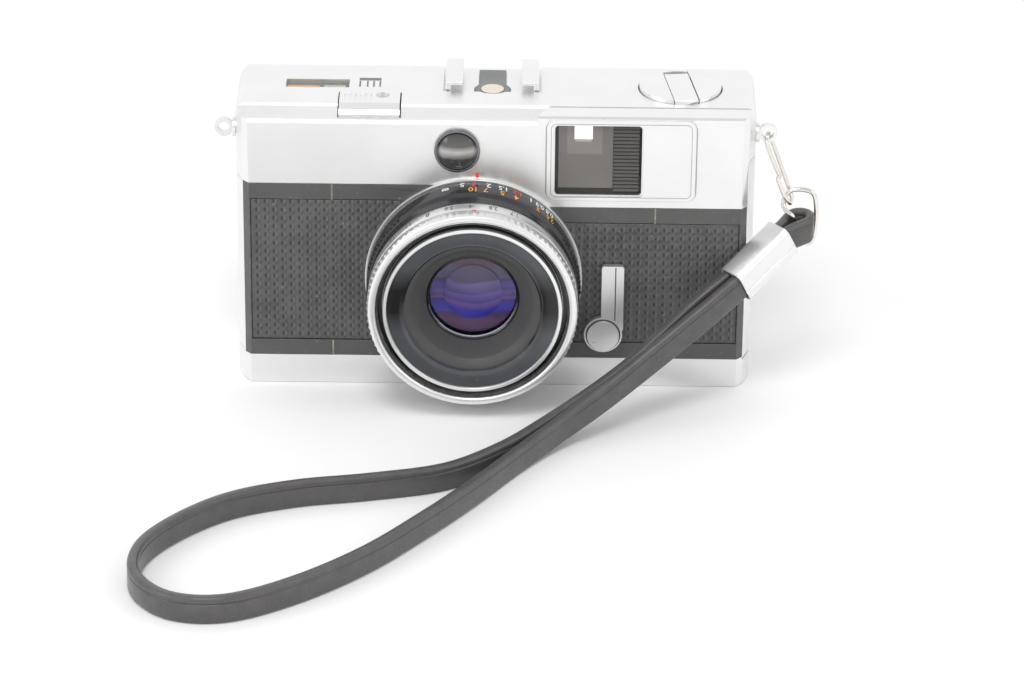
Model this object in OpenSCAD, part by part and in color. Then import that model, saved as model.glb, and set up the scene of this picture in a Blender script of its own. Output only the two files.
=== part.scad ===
// Compact half frame camera with a wrist strap.
// Frame: X runs along the body as seen from the front, the lens looks towards -Y,
// Z is up, and the origin is under the middle of the body on the surface it stands on.

/* [Body] */
// Width of the body without the strap lugs
body_w = 116; // [112:1:120]
// Depth of the body from the front face to the back of the top cover
body_d = 30; // [29:0.5:32]
// Height of the deck above the base
deck_z = 66.5; // [66:0.5:68]
// How far the lens stands in front of the front face
lens_out = 18; // [17.5:0.5:20]
// How far the thumbwheel and eyepiece stand behind the top cover
back_out = 2; // [1.8:0.1:3]
// Radius of the two rear corners in plan
corner_r = 7; // [5:0.5:9]
// Sheet thickness of the covers
cover_t = 1; // [0.8:0.1:1.2]

/* [Seams] */
// Lower edge of the top cover, left of the lens
seam_left_z = 49.6; // [48:0.1:51]
// Lower edge of the top cover under the finder
seam_right_z = 44.5; // [44:0.1:46]
// Lower edge of the top cover at the back
seam_back_z = 55.2; // [54.8:0.1:56]
// Upper edge of the bottom cover
seam_base_z = 6.9; // [6.7:0.1:8]
// Height of the smooth strips above and below the leatherette
strip_h = 4; // [3:0.1:5]

/* [Lens] */
// Distance of the lens axis from the middle of the body
lens_x = -4.7; // [-8:0.1:0]
// Height of the lens axis
lens_z = 26.9; // [26:0.1:28]
// Radius of the mounting flange
flange_r = 24.4; // [24.2:0.1:25]
// Radius of the aperture ring and the front ring
ring_r = 23.4; // [23.2:0.1:24]
// Wall radius of the filter thread
filter_r = 21.5; // [21:0.05:22]
// Radius of the clear front glass
glass_r = 9.8; // [8:0.1:10]

/* [Finder and meter] */
// Left edge of the raised finder frame
finder_x = 11.4; // [10:0.1:13]
// Width of the raised finder frame
finder_w = 33.1; // [30:0.1:34]
// Height of the raised finder frame
finder_h = 19.4; // [18:0.1:19.6]
// Distance of the meter window from the middle of the body
meter_x = -8.5; // [-12:0.1:-6]
// Height of the meter window
meter_z = 58.1; // [57:0.1:59]

/* [Film transport] */
// Distance of the rewind shaft and cartridge chamber from the middle
rewind_x = 41.2; // [40:0.1:42]
// Distance of the rewind shaft from the middle of the depth
rewind_y = 9.6; // [9:0.1:10]
// Radius of the rewind disc
disc_r = 9.2; // [8.5:0.1:9.5]
// Half the width of the cartridge chamber, for a 25 mm cartridge
chamber_r = 12.8; // [12.7:0.1:13]
// Distance of the thumbwheel from the middle
wind_x = -40; // [-41:0.5:-39]
// Width of the half frame gate
gate_w = 18; // [17:0.5:18]
// Height of the half frame gate
gate_h = 24; // [23:0.5:24]

/* [Hidden] */

$fn = 96;
fit = 0.05;
face_y = lens_out - (lens_out + body_d + back_out) / 2;
back_y = face_y + body_d;
half_w = body_w / 2;

// front corner facets, measured inwards from the side and backwards from the face
facet_in = [3, 1.6];
facet_back = [1.5, 6];

// panels on the front
panel_t = 1.4;
panel_end = half_w - 1.7;
seam_x = [-36.5, 35.8];
step_x = 4;
skin_t = 0.7;
skin_gap = 0.15;
skin_left_x = -54.6;
skin_right_x = 54.6;
skin_ring_r = 23;

// chassis
chassis_low = 3;
chassis_top = 51;
floor_z = 4.5;
ceiling_z = 49.5;
film_y = back_y - 5;
wind_y = 10.5;
sprocket_pos = [-26.1, 12.5];
sprocket_r = 6;
screw_spots = [[-50, 2], [-20, 17], [24, 17]];
tripod_pos = [-4.7, 11];
battery_pos = [17, 7];
battery_r = 7.9;
rewind_button_pos = [-28.5, 5];

// back door
door_y = back_y + 1;
door_t = 1.4;
door_low = 6.5;
door_high = 55;
hinge_pos = [-54, back_y - 0.8];
hinge_barrel_r = 1.8;
hinge_pin_r = 0.8;
lug_span = [8, 11];
lug_top_span = [45, 48];

// lens stack, as distances in front of the face
flange_t = 1;
focus_out = [1.1, 10.3];
aperture_out = [11.1, 14.4];
front_out = [14.6, lens_out];
barrel_in_r = 20.4;
barrel_out_r = 21.95;
barrel_gap = 0.15;
cell_in_r = 18.6;
seat_out = 15;
name_ring_r = 19.6;
cone_out_r = 14.9;
glass_out = 9.5;

// finder and meter
frame_t = 0.7;
frame_z = 46.4;
window_x = 12.9;
window_w = 19.9;
window_z = 47.3;
window_h = 17.3;
grille_x = 26.2;
grille_w = 5.7;
rib_count = 18;
tube_x = 13.6;
tube_w = 12;
tube_z = [51.2, 63.2];
eyepiece_z = [56, 62];
meter_r = 5.1;

// deck
counter_pos = [-47.2, 7.9];
counter_size = [14.2, 4.5];
dial_pos = [-40, 12.8];
dial_r = 7.2;
release_x = [-34.9, -21.4];
release_y = [face_y + 2.2, face_y + 12];
cable_pos = [-25.3, face_y + 9.8];
cable_r = 1.5;
release_shelf_z = 61.6;
release_low = 64;
shoe_x = -0.9;
shoe_y = [6.8, 20.5];
shoe_half = 10.45;
shoe_slot_half = 9.3;
shoe_lip_half = 6.6;
contact_y = 9.4;
shoe_floor_z = 65.7;
shoe_top_z = 68.5;
recess_z = 65.2;
lug_y = face_y + 8;
lug_x = half_w + 2.7;
lug_z = 59.7;
lug_r = 2.1;
lug_hole_r = 1.25;

// rewind
disc_low = 64.4;
disc_top = 67.4;
crank_turn = 8;
crank_w = 5.4;
crank_pin_y = 6;
crank_pin_z = 66.3;
crank_pin_r = 0.5;
shaft_r = 2.6;
fork_z = 45.5;

// self timer
timer_x = 24.6;
timer_z = 13.6;
timer_r = 4.3;
timer_arm_x = [24.1, 29.1];
timer_tip_z = 30.7;

// gears
wheel_r = back_y + back_out - wind_y;
wheel_z = [56.2, 60.2];
gear_z = [51.5, 53.5];
gear_teeth = [20, 16];
gear_dist = norm(sprocket_pos - [wind_x, wind_y]);
gear_module = 2 * gear_dist / (gear_teeth[0] + gear_teeth[1]);

// strap
strap_w = 6;
strap_t = 2.2;
wire_r = 0.5;
ferrule_a = [64.7, face_y + 2.7, 36.5];
ferrule_b = [54, face_y - 5.8, 28.7];
bar_middle = [68.2, -0.8, 37.4];
clip_path = [[60.8, 1, 59.5], [60.8, 1.7, 59.4], [60.9, 2.4, 58.9], [61.4, 2.6, 57],
    [65.9, 2.3, 44.5], [66.3, 1.9, 43], [66.4, 1, 42.5], [66.2, 0.1, 43], [65.6, -0.4, 44.5], [61, -0.6, 57],
    [60.7, -0.4, 58.9], [60.8, 0.3, 59.4]];
ring_path = [[65.3, 0.7, 44.6], [66.8, 1, 45.7], [70, 1, 45.6], [71.8, 0.9, 44], [72.2, 0.6, 38.5],
    [71.6, 0.2, 34], [70.4, 0, 33], [69.6, -0.2, 34.5], bar_middle, [66.8, -1.4, 40.2],
    [65.4, -0.9, 41.3], [64.7, 0, 42.7]];
strap_route = [
    [54.9, -14.1, 28.9], [48, -18.5, 24.4], [40, -22.5, 18.8], [32, -26.5, 13.4], [24, -31.5, 8.8],
    [15, -38, 4.8], [6, -49, 3.1], [-4, -65, 3.1], [-14, -79.5, 3.1], [-26, -95, 3.1],
    [-40, -108, 3.1], [-54, -116, 3.1], [-66, -115, 3.1], [-73.5, -106, 3.1],
    [-73.5, -94, 3.1], [-67, -82.5, 3.1], [-56, -72, 3.1], [-42, -66, 3.1], [-26, -62.5, 3.1],
    [-10, -57.5, 3.1], [2, -47.5, 3.1], [11.5, -36.8, 3.8], [22, -28.5, 7.4], [30.5, -23.5, 12],
    [38.5, -19.3, 18], [46.5, -15.3, 24.5], [53.3, -11.5, 28.9]];

// ---- helpers ----

function unit(v) = v / norm(v);

// A closed tube of the given section, swept along points; ref is never along the path
module sweep(pts, section, ref = [0, 0, 1], closed = false) {
    n = len(pts);
    m = len(section);
    rings = [for (i = [0 : n - 1])
        let (before = pts[closed ? (i + n - 1) % n : max(i - 1, 0)],
             after = pts[closed ? (i + 1) % n : min(i + 1, n - 1)],
             t = unit(after - before), s = unit(cross(ref, t)), u = cross(t, s))
        for (q = section) pts[i] + q[0] * s + q[1] * u];
    last = closed ? n - 1 : n - 2;
    sides = [for (i = [0 : last], j = [0 : m - 1])
        let (a = i * m, b = ((i + 1) % n) * m, k = (j + 1) % m)
        each [[a + j, b + j, b + k], [a + j, b + k, a + k]]];
    caps = closed ? [] : [[for (j = [0 : m - 1]) j], [for (j = [m - 1 : -1 : 0]) (n - 1) * m + j]];
    polyhedron(points = rings, faces = concat(sides, caps));
}

function round_section(r, sides) = [for (j = [0 : sides - 1])
    r * [cos(360 * j / sides), sin(360 * j / sides)]];

// The corners of a rounded flat section
function strap_section(t, w, c) = [[t / 2 - c, -w / 2], [t / 2, -w / 2 + c], [t / 2, w / 2 - c],
    [t / 2 - c, w / 2], [-t / 2 + c, w / 2], [-t / 2, w / 2 - c], [-t / 2, -w / 2 + c],
    [-t / 2 + c, -w / 2]];

module tube(r_out, r_in, h) {
    difference() {
        cylinder(r = r_out, h = h);
        translate([0, 0, -1]) cylinder(r = r_in, h = h + 2);
    }
}

module rounded_rect(size, r) {
    translate([r, 0]) square([size[0] - 2 * r, size[1]]);
    translate([0, r]) square([size[0], size[1] - 2 * r]);
    for (x = [r, size[0] - r], y = [r, size[1] - r]) translate([x, y]) circle(r, $fn = 32);
}

// Axis-aligned block from its lowest to its highest corner
module block(low, high) {
    translate(low) cube(high - low);
}

// Children drawn with their z along the lens axis, towards the front
module on_lens(out = 0) {
    translate([lens_x, face_y - out, lens_z]) rotate([90, 0, 0]) children();
}

// Children drawn in x and z on the front face, extruded towards the front from depth out
module on_face(out, t) {
    translate([0, face_y - out, 0]) rotate([90, 0, 0]) linear_extrude(t) children();
}

// Plan outline of the body, moved inwards by inset, with its back at rear
module body_plan(inset = 0, rear = back_y) {
    h = half_w - inset;
    front = face_y + inset;
    back = rear - inset;
    r = corner_r - inset;
    half = [[h - facet_in[0], front], [h - facet_in[1], front + facet_back[0]],
        [h, front + facet_back[1]], [h, back - r], [h - r, back]];
    polygon(concat(half, [for (i = [len(half) - 1 : -1 : 0]) [-half[i][0], half[i][1]]]));
    for (side = [-1, 1]) translate([side * (h - r), back - r]) circle(r);
}

module gear(teeth, h, bore) {
    pitch_r = gear_module * teeth / 2;
    half_tooth = 360 / teeth * 0.14;
    difference() {
        linear_extrude(h) {
            circle(pitch_r - 0.75 * gear_module);
            for (i = [0 : teeth - 1]) rotate(i * 360 / teeth) polygon([
                (pitch_r - gear_module) * [cos(half_tooth * 1.4), -sin(half_tooth * 1.4)],
                (pitch_r + 0.5 * gear_module) * [cos(half_tooth * 0.5), -sin(half_tooth * 0.5)],
                (pitch_r + 0.5 * gear_module) * [cos(half_tooth * 0.5), sin(half_tooth * 0.5)],
                (pitch_r - gear_module) * [cos(half_tooth * 1.4), sin(half_tooth * 1.4)]]);
        }
        translate([0, 0, -1]) cylinder(r = bore, h = h + 2);
    }
}

// ---- casing ----

// The whole casting, which the two nodes below divide between them
module casting() {
    difference() {
        union() {
            difference() {
                translate([0, 0, chassis_low]) linear_extrude(chassis_top - chassis_low) body_plan(panel_t);
                block([-half_w, film_y, floor_z], [half_w, back_y, ceiling_z]);
                block([-half_w, back_y - 1.6, 0], [half_w, back_y, chassis_top + 1]);
            }
            for (p = screw_spots) translate([p[0], p[1], cover_t + 0.2]) cylinder(r = 3, h = 2.5);
        }
        // cartridge and take-up chambers, open to the back
        for (c = [[rewind_x, rewind_y, chamber_r], [wind_x, wind_y, chamber_r],
            [sprocket_pos[0], sprocket_pos[1], sprocket_r + 1.2]])
            block([c[0] - c[2], c[1] - c[2], floor_z], [c[0] + c[2], back_y, ceiling_z]);
        // room for the shutter, the light tunnel and the gate
        block([lens_x - 22, face_y - 1, floor_z], [lens_x + 31, 4.5, ceiling_z]);
        block([lens_x - 13, 4, lens_z - 16], [lens_x + 13, film_y - 3, lens_z + 16]);
        block([lens_x - gate_w / 2, film_y - 4, lens_z - gate_h / 2],
            [lens_x + gate_w / 2, film_y + 1, lens_z + gate_h / 2]);
        block([battery_pos[0] - 10, battery_pos[1] - 10, 0],
            [battery_pos[0] + 10, battery_pos[1] + 9.6, 12]);
        // bearings and screw holes
        for (p = [[wind_x, wind_y, 3 + fit, 1.5 + fit],
            [sprocket_pos[0], sprocket_pos[1], 1.5 + fit, 1.5 + fit],
            [rewind_x, rewind_y, shaft_r + fit, 2.2]]) {
            translate([p[0], p[1], ceiling_z - 1]) cylinder(r = p[2], h = 4);
            translate([p[0], p[1], 0]) cylinder(r = p[3], h = floor_z + 1);
        }
        for (p = screw_spots) translate([p[0], p[1], 0]) cylinder(r = 1, h = floor_z - 0.6);
        translate([tripod_pos[0], tripod_pos[1], 0]) cylinder(r = 7.3, h = 7.2);
        translate([rewind_button_pos[0], rewind_button_pos[1], 0]) cylinder(r = 3, h = floor_z - 0.5);
        translate([hinge_pos[0], hinge_pos[1], 0]) cylinder(r = hinge_barrel_r + 0.4, h = 60);
    }
    // fixed hinge lugs
    for (span = [lug_span, lug_top_span]) difference() {
        union() {
            translate([hinge_pos[0], hinge_pos[1], span[0]])
                cylinder(r = hinge_barrel_r, h = span[1] - span[0]);
            block([hinge_pos[0] - hinge_barrel_r, back_y - 8.5, span[0]],
                [hinge_pos[0], hinge_pos[1], span[1]]);
        }
        translate([hinge_pos[0], hinge_pos[1], 0]) cylinder(r = hinge_pin_r, h = 60);
    }
}

// Room of the casting's floor and roof
module plate_room() {
    block([-half_w, face_y, 0], [half_w, back_y + back_out, floor_z]);
    block([-half_w, face_y, ceiling_z], [half_w, back_y + back_out, chassis_top + 1]);
}

// Upright walls with the film gate and the hinge lugs, in sections that meet at fine joints
module chassis() {
    gate_room = 13;
    joint = 0.02;
    color([0.16, 0.16, 0.17]) difference() {
        casting();
        plate_room();
        for (c = [[wind_x, chamber_r], [lens_x, gate_room], [rewind_x, chamber_r]], side = [-1, 1])
            block([c[0] + side * c[1] - joint, face_y, 0], [c[0] + side * c[1] + joint, film_y + 1, 60]);
        for (side = [-1, 1]) translate([0, 0, lens_z + side * gate_h / 2])
            block([lens_x - gate_room, face_y, -joint], [lens_x + gate_room, film_y + 1, joint]);
    }
}

// Floor and roof of the casting
module chassis_plates() {
    color([0.16, 0.16, 0.17]) intersection() {
        casting();
        plate_room();
    }
}

// Outline of the black front panels in x and z, between two x values
module front_outline(x_low, x_high) {
    difference() {
        union() {
            translate([x_low, seam_base_z]) square([x_high - x_low, seam_right_z - seam_base_z]);
            if (x_low < step_x) translate([x_low, seam_base_z])
                square([min(step_x, x_high) - x_low, seam_left_z - 0.1 - seam_base_z]);
        }
        translate([lens_x, lens_z]) circle(barrel_out_r + barrel_gap);
    }
}

module skin_pocket(grow = 0) {
    left_top = seam_left_z - strip_h + grow;
    right_top = seam_right_z - strip_h + grow;
    low = seam_base_z + strip_h - grow;
    difference() {
        union() {
            translate([skin_left_x - grow, low]) square([lens_x - skin_left_x + grow, left_top - low]);
            translate([lens_x, low]) square([skin_right_x - lens_x + grow, right_top - low]);
        }
        translate([lens_x, lens_z]) circle(skin_ring_r - grow);
    }
}

module front_panel(x_low, x_high) {
    color([0.2, 0.2, 0.21]) difference() {
        on_face(-panel_t, panel_t) front_outline(x_low, x_high);
        on_face(-skin_t, 1) skin_pocket(skin_gap);
        translate([timer_x, face_y - 1, timer_z]) rotate([-90, 0, 0]) cylinder(r = 1.6, h = 4);
        // the chamfered corners of the body
        translate([0, 0, -1]) linear_extrude(80) difference() {
            translate([-half_w - 1, face_y - 1]) square([body_w + 2, panel_t + 2]);
            body_plan();
        }
    }
}

// Room for the lens barrel in the casing
module barrel_room() {
    on_lens(-11) cylinder(r = barrel_out_r + barrel_gap, h = 13);
}

module front_plate() {
    front_panel(seam_x[0] + 0.05, seam_x[1] - 0.05);
}

// The two end pieces of the smooth black border
module end_trims() {
    front_panel(-panel_end, seam_x[0] - 0.05);
    front_panel(seam_x[1] + 0.05, panel_end);
}

module leatherette(left) {
    color([0.14, 0.14, 0.14]) intersection() {
        difference() {
            on_face(-skin_t, skin_t) skin_pocket();
            translate([timer_x, face_y - 1, timer_z]) rotate([-90, 0, 0]) cylinder(r = 2, h = 4);
        }
        block([left ? -60 : lens_x, face_y - 1, 0], [left ? lens_x : 60, face_y + 2, 60]);
    }
}

module leatherette_left() {
    leatherette(true);
}

module leatherette_right() {
    leatherette(false);
}

module side_plate_left() {
    color([0.86, 0.86, 0.86]) intersection() {
        translate([0, 0, seam_base_z + 0.05]) linear_extrude(seam_left_z - seam_base_z - 0.3) difference() {
            body_plan();
            body_plan(panel_t);
        }
        block([-60, face_y + facet_back[0], 0], [-half_w + 4, back_y - 5.5, 60]);
    }
}

// Height profile of the top cover in y and z; the left part has a trough behind its front edge
module deck_profile(trough) {
    back = [[back_y - 2.5, deck_z], [back_y - 0.6, deck_z - 0.9], [back_y, deck_z - 2.1], [back_y, 40]];
    front = trough
        ? [[face_y, 40], [face_y, deck_z - 2.2], [face_y + 0.5, deck_z - 1.65], [face_y + 1.6, deck_z - 1.55],
            [face_y + 2.1, deck_z - 2.1], [face_y + 2.7, deck_z - 2.1], [face_y + 5.3, deck_z - 0.4],
            [face_y + 5.8, deck_z]]
        : [[face_y, 40], [face_y, deck_z - 0.6], [face_y + 0.7, deck_z - 0.25], [face_y + 5.2, deck_z - 0.1],
            [face_y + 5.2, deck_z - 0.35], [face_y + 5.6, deck_z - 0.35], [face_y + 5.6, deck_z]];
    polygon(concat(front, back));
}

module cover_block() {
    trough_plan = [[-60, face_y - 1], [9.2, face_y - 1], [9.2, face_y + 0.5], [11.9, face_y + 5.8],
        [11.9, 26], [-60, 26]];
    intersection() {
        translate([0, 0, seam_right_z]) linear_extrude(40) body_plan();
        rotate([90, 0, 0]) translate([0, 0, -40]) linear_extrude(80) polygon([[-half_w, 40],
            [-half_w, deck_z - 1.7], [-half_w + 0.5, deck_z - 0.6], [-half_w + 1.6, deck_z],
            [half_w - 1.6, deck_z], [half_w - 0.5, deck_z - 0.6], [half_w, deck_z - 1.7], [half_w, 40]]);
        union() {
            intersection() {
                translate([-60, 0, 0]) rotate([90, 0, 90]) linear_extrude(80) deck_profile(true);
                linear_extrude(80) polygon(trough_plan);
            }
            difference() {
                rotate([90, 0, 90]) linear_extrude(60) deck_profile(false);
                translate([0, 0, -1]) linear_extrude(90) polygon(trough_plan);
            }
        }
    }
}

module top_cover() {
    color([0.9, 0.9, 0.9]) difference() {
        union() {
            difference() {
                cover_block();
                translate([0, 0, 40]) linear_extrude(deck_z - 43.1) body_plan(cover_t);
                translate([0, 0, 40]) linear_extrude(deck_z - 41) intersection() {
                    body_plan(cover_t + 0.6);
                    translate([-60, face_y + 6.8]) square([120, body_d - 9.6]);
                }
            }
            // pan under the accessory shoe, well of the rewind disc, counter post and release shelf
            block([shoe_x - shoe_half - 1.5, shoe_y[0] - 2.5, recess_z - 1],
                [shoe_x + shoe_half + 1.5, 21, deck_z - 0.5]);
            translate([rewind_x, rewind_y, disc_low - 1.4]) cylinder(r = disc_r + 1.3, h = 3);
            translate([dial_pos[0], dial_pos[1], 62.8]) cylinder(r = 1, h = 3);
            block([-33, face_y + 0.5, release_shelf_z - 0.8], [-23, 3, release_shelf_z]);
        }
        // seams
        block([-60, face_y - 1, 40], [step_x, 18, seam_left_z]);
        block([-60, 15, 40], [60, 25, seam_back_z]);
        block([half_w - 4.2, face_y + 1.45, 40], [60, 25, seam_back_z]);
        barrel_room();
        // shoe recess, rewind well, counter window, release slot
        block([shoe_x - shoe_half - 0.5, shoe_y[0] - 0.5, recess_z],
            [shoe_x + shoe_half + 0.5, 26, deck_z + 1]);
        translate([shoe_x, contact_y, recess_z]) cylinder(r = 4.2, h = 5);
        translate([rewind_x, rewind_y, disc_low - 0.4]) cylinder(r = disc_r + 0.3, h = 5);
        translate([rewind_x, rewind_y, 60]) cylinder(r = shaft_r + 0.4, h = 10);
        translate([counter_pos[0], counter_pos[1], 60]) cube([counter_size[0], counter_size[1], 10]);
        block([release_x[0] - 0.3, release_y[0] - 0.3, release_shelf_z],
            [release_x[1] + 0.3, release_y[1] + 0.3, deck_z + 2]);
        // finder window, meter window, eyepiece, thumbwheel slot
        on_face(-4, 6) translate([window_x + 0.3, window_z + 0.3])
            rounded_rect([window_w - 0.6, window_h - 0.6], 0.8);
        on_face(-4, 6) translate([meter_x, meter_z]) circle(4.3);
        block([tube_x + 1.9, back_y - 4, eyepiece_z[0] - 0.1],
            [tube_x + tube_w - 1.9, back_y + 1, eyepiece_z[1] + 0.1]);
        block([wind_x - 12, back_y - 4, wheel_z[0] - 0.6], [wind_x + 12, back_y + 1, wheel_z[1] + 0.6]);
    }
}

module bottom_cover() {
    color([0.88, 0.88, 0.88]) difference() {
        linear_extrude(seam_base_z) body_plan();
        translate([0, 0, cover_t + 0.2]) linear_extrude(10) body_plan(cover_t);
        block([-60, back_y - 8, 6.2], [60, 25, 10]);
        block([half_w - 4.2, face_y + 1.45, 6.2], [60, 25, 10]);
        barrel_room();
        // the floor openings
        translate([tripod_pos[0], tripod_pos[1], -1]) cylinder(r = 6, h = 4);
        translate([battery_pos[0], battery_pos[1], -1]) cylinder(r = 9.2, h = 4);
        translate([rewind_button_pos[0], rewind_button_pos[1], -1]) cylinder(r = 2.5 + fit, h = 4);
        for (p = screw_spots) {
            translate([p[0], p[1], -1]) cylinder(r = 1.1, h = 4);
            translate([p[0], p[1], -1]) cylinder(r = 1.9, h = 1.8);
        }
    }
}

module base_screws() {
    color([0.75, 0.75, 0.75]) for (p = screw_spots) translate([p[0], p[1], 0.2]) difference() {
        union() {
            cylinder(r = 1.8, h = 0.6);
            cylinder(r = 0.95, h = 3.4);
        }
        block([-2, -0.25, -0.3], [2, 0.25, 0.3]);
    }
}

module light_seals() {
    color([0.05, 0.05, 0.05]) {
        block([-49, back_y - 1.6, ceiling_z + 0.2], [half_w - 9, back_y - 0.6, chassis_top - 0.2]);
        block([half_w - 4, film_y, 8], [half_w - 2.6, film_y + 2.5, ceiling_z - 1]);
    }
}

// ---- lens ----

module lens_flange() {
    color([0.85, 0.85, 0.85]) on_lens(0) tube(flange_r, barrel_out_r + 0.02, flange_t);
}

module shutter_housing() {
    color([0.1, 0.1, 0.1]) {
        on_lens(-10.5) difference() {
            union() {
                cylinder(r = 20.9, h = 10.5);
                cylinder(r = barrel_out_r, h = 20.6);
            }
            translate([0, 0, 4.5]) cylinder(r = barrel_in_r, h = 30);
            translate([0, 0, -1]) cylinder(r = 9, h = 30);
        }
    }
}

module focus_ring() {
    lobes = 36;
    color([0.08, 0.08, 0.08]) on_lens(focus_out[0]) difference() {
        union() {
            rotate_extrude() polygon([[barrel_out_r + fit, 0], [24, 0], [23.9, 5.4], [23.2, 6.2],
                [22.9, focus_out[1] - focus_out[0]], [barrel_out_r + fit, focus_out[1] - focus_out[0]]]);
        }
        for (i = [0 : lobes - 1]) if (abs(i - lobes / 4) > 7) rotate(i * 360 / lobes)
            translate([24.25, 0, -1]) cylinder(r = 0.6, h = 6, $fn = 24);
    }
}

module lens_cell() {
    color([0.1, 0.1, 0.1]) on_lens(-3) difference() {
        cylinder(r = barrel_in_r - fit, h = front_out[0] + 3);
        translate([0, 0, 6]) cylinder(r = cell_in_r, h = 20);
        translate([0, 0, -1]) cylinder(r = 8, h = 20);
    }
}

module aperture_ring() {
    color([0.8, 0.8, 0.8]) on_lens(aperture_out[0])
        tube(ring_r, barrel_in_r, aperture_out[1] - aperture_out[0]);
}

module front_ring() {
    color([0.85, 0.85, 0.85]) on_lens(front_out[0]) difference() {
        cylinder(r = ring_r, h = front_out[1] - front_out[0]);
        translate([0, 0, seat_out - front_out[0]]) cylinder(r = filter_r, h = 10);
        translate([0, 0, -1]) cylinder(r = name_ring_r + fit, h = 10);
    }
}

module name_ring() {
    color([0.05, 0.05, 0.05]) on_lens(seat_out) rotate_extrude() polygon([[cone_out_r, -1],
        [cell_in_r - fit, -1], [cell_in_r - fit, -0.4], [name_ring_r, -0.4], [name_ring_r, 0],
        [name_ring_r - 0.3, 0], [name_ring_r - 0.4, -0.2], [cone_out_r, -0.45]]);
}

module front_cone() {
    steps = 12;
    inner = glass_r + 0.3;
    depth = seat_out - 1 - glass_out;
    step_w = (cone_out_r - inner) / steps;
    color([0.06, 0.06, 0.06]) on_lens(seat_out - 1) difference() {
        translate([0, 0, -depth]) cylinder(r = cell_in_r - 0.05, h = depth);
        for (i = [0 : steps - 1]) translate([0, 0, -depth * (i + 1) / steps])
            cylinder(r = cone_out_r - i * step_w, h = depth + 1);
        translate([0, 0, -depth - 1]) cylinder(r = inner, h = depth + 2);
    }
}

module front_element() {
    bulge_r = 24;
    color([0.3, 0.3, 0.55, 0.5]) on_lens(glass_out - 3) intersection() {
        cylinder(r = glass_r + 0.25, h = 6);
        translate([0, 0, 4.2 - bulge_r]) sphere(r = bulge_r);
    }
}

module aperture_blades() {
    color([0.25, 0.25, 0.25]) on_lens(4) difference() {
        cylinder(r = cell_in_r - 0.1, h = 0.6);
        translate([0, 0, -1]) rotate(18) cylinder(r = 6, h = 3, $fn = 5);
    }
}

// ---- finder, meter, counter ----

module finder_frame() {
    color([0.9, 0.9, 0.9]) difference() {
        on_face(0, frame_t) translate([finder_x, frame_z]) rounded_rect([finder_w, finder_h], 2);
        on_face(-1, 3) translate([window_x, window_z]) rounded_rect([window_w, window_h], 0.9);
    }
}

module finder_window() {
    color([0.15, 0.15, 0.16, 0.5]) on_face(-0.6, 0.8) translate([window_x + 0.35, window_z + 0.35])
        rounded_rect([window_w - 0.7, window_h - 0.7], 0.7);
}

module finder_grille() {
    pitch = (window_h - 1) / rib_count;
    color([0.07, 0.07, 0.07]) {
        on_face(-1.35, 0.35) translate([grille_x, window_z + 0.5]) square([grille_w, window_h - 1]);
        on_face(-1, 0.35) for (i = [0 : rib_count - 1])
            translate([grille_x, window_z + 0.5 + pitch * (i + 0.25)]) square([grille_w, pitch / 2]);
    }
}

module finder_tube() {
    color([0.3, 0.3, 0.3]) difference() {
        block([tube_x, face_y + 1, tube_z[0]], [tube_x + tube_w, back_y - 1.2, tube_z[1]]);
        block([tube_x + 0.9, face_y, tube_z[0] + 0.9], [tube_x + tube_w - 0.9, 6, tube_z[1] - 0.9]);
        block([tube_x + 2.5, 0, eyepiece_z[0] + 0.4], [tube_x + tube_w - 2.5, back_y, eyepiece_z[1] - 0.4]);
    }
}

module finder_eyepiece() {
    color([0.1, 0.1, 0.1]) difference() {
        block([tube_x + 2, back_y - 1.2, eyepiece_z[0]],
            [tube_x + tube_w - 2, back_y + back_out, eyepiece_z[1]]);
        block([tube_x + 3.2, back_y - 0.2, eyepiece_z[0] + 1],
            [tube_x + tube_w - 3.2, back_y + back_out + 1, eyepiece_z[1] - 1]);
    }
}

module meter_bezel() {
    color([0.5, 0.5, 0.5]) translate([meter_x, face_y, meter_z]) rotate([90, 0, 0]) difference() {
        union() {
            cylinder(r = meter_r, h = 0.9);
            translate([0, 0, -1.4]) cylinder(r = 4.25, h = 2);
        }
        translate([0, 0, -2]) cylinder(r = 3.8, h = 2.2);
        translate([0, 0, 0.2]) cylinder(r = 4.5, h = 2);
    }
}

module meter_dome() {
    color([0.15, 0.15, 0.15]) translate([meter_x, face_y, meter_z]) rotate([90, 0, 0]) intersection() {
        translate([0, 0, 0.2]) cylinder(r = 4.4, h = 3);
        translate([0, 0, -5.4]) sphere(r = 7.4);
    }
}

module counter_window() {
    color([0.6, 0.6, 0.6, 0.5]) translate([counter_pos[0] + 0.05, counter_pos[1] + 0.05, deck_z - 0.9])
        cube([counter_size[0] - 0.1, counter_size[1] - 0.1, 0.6]);
}

module counter_dial() {
    color([0.35, 0.35, 0.35]) translate([dial_pos[0], dial_pos[1], 63.6]) tube(dial_r, 1 + fit, 0.8);
}

// ---- deck fittings ----

module accessory_shoe() {
    color([0.88, 0.88, 0.88]) difference() {
        block([shoe_x - shoe_half, shoe_y[0], recess_z], [shoe_x + shoe_half, shoe_y[1], shoe_top_z]);
        block([shoe_x - shoe_slot_half, shoe_y[0] - 1, shoe_floor_z],
            [shoe_x + shoe_slot_half, shoe_y[1] + 1, shoe_top_z - 0.75]);
        block([shoe_x - shoe_lip_half, shoe_y[0] - 1, shoe_floor_z],
            [shoe_x + shoe_lip_half, shoe_y[1] + 1, 70]);
        translate([shoe_x, contact_y, 60]) cylinder(r = 4.1, h = 10);
        block([shoe_x - 3.1, contact_y, 60], [shoe_x + 3.1, 21, 70]);
    }
}

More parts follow.
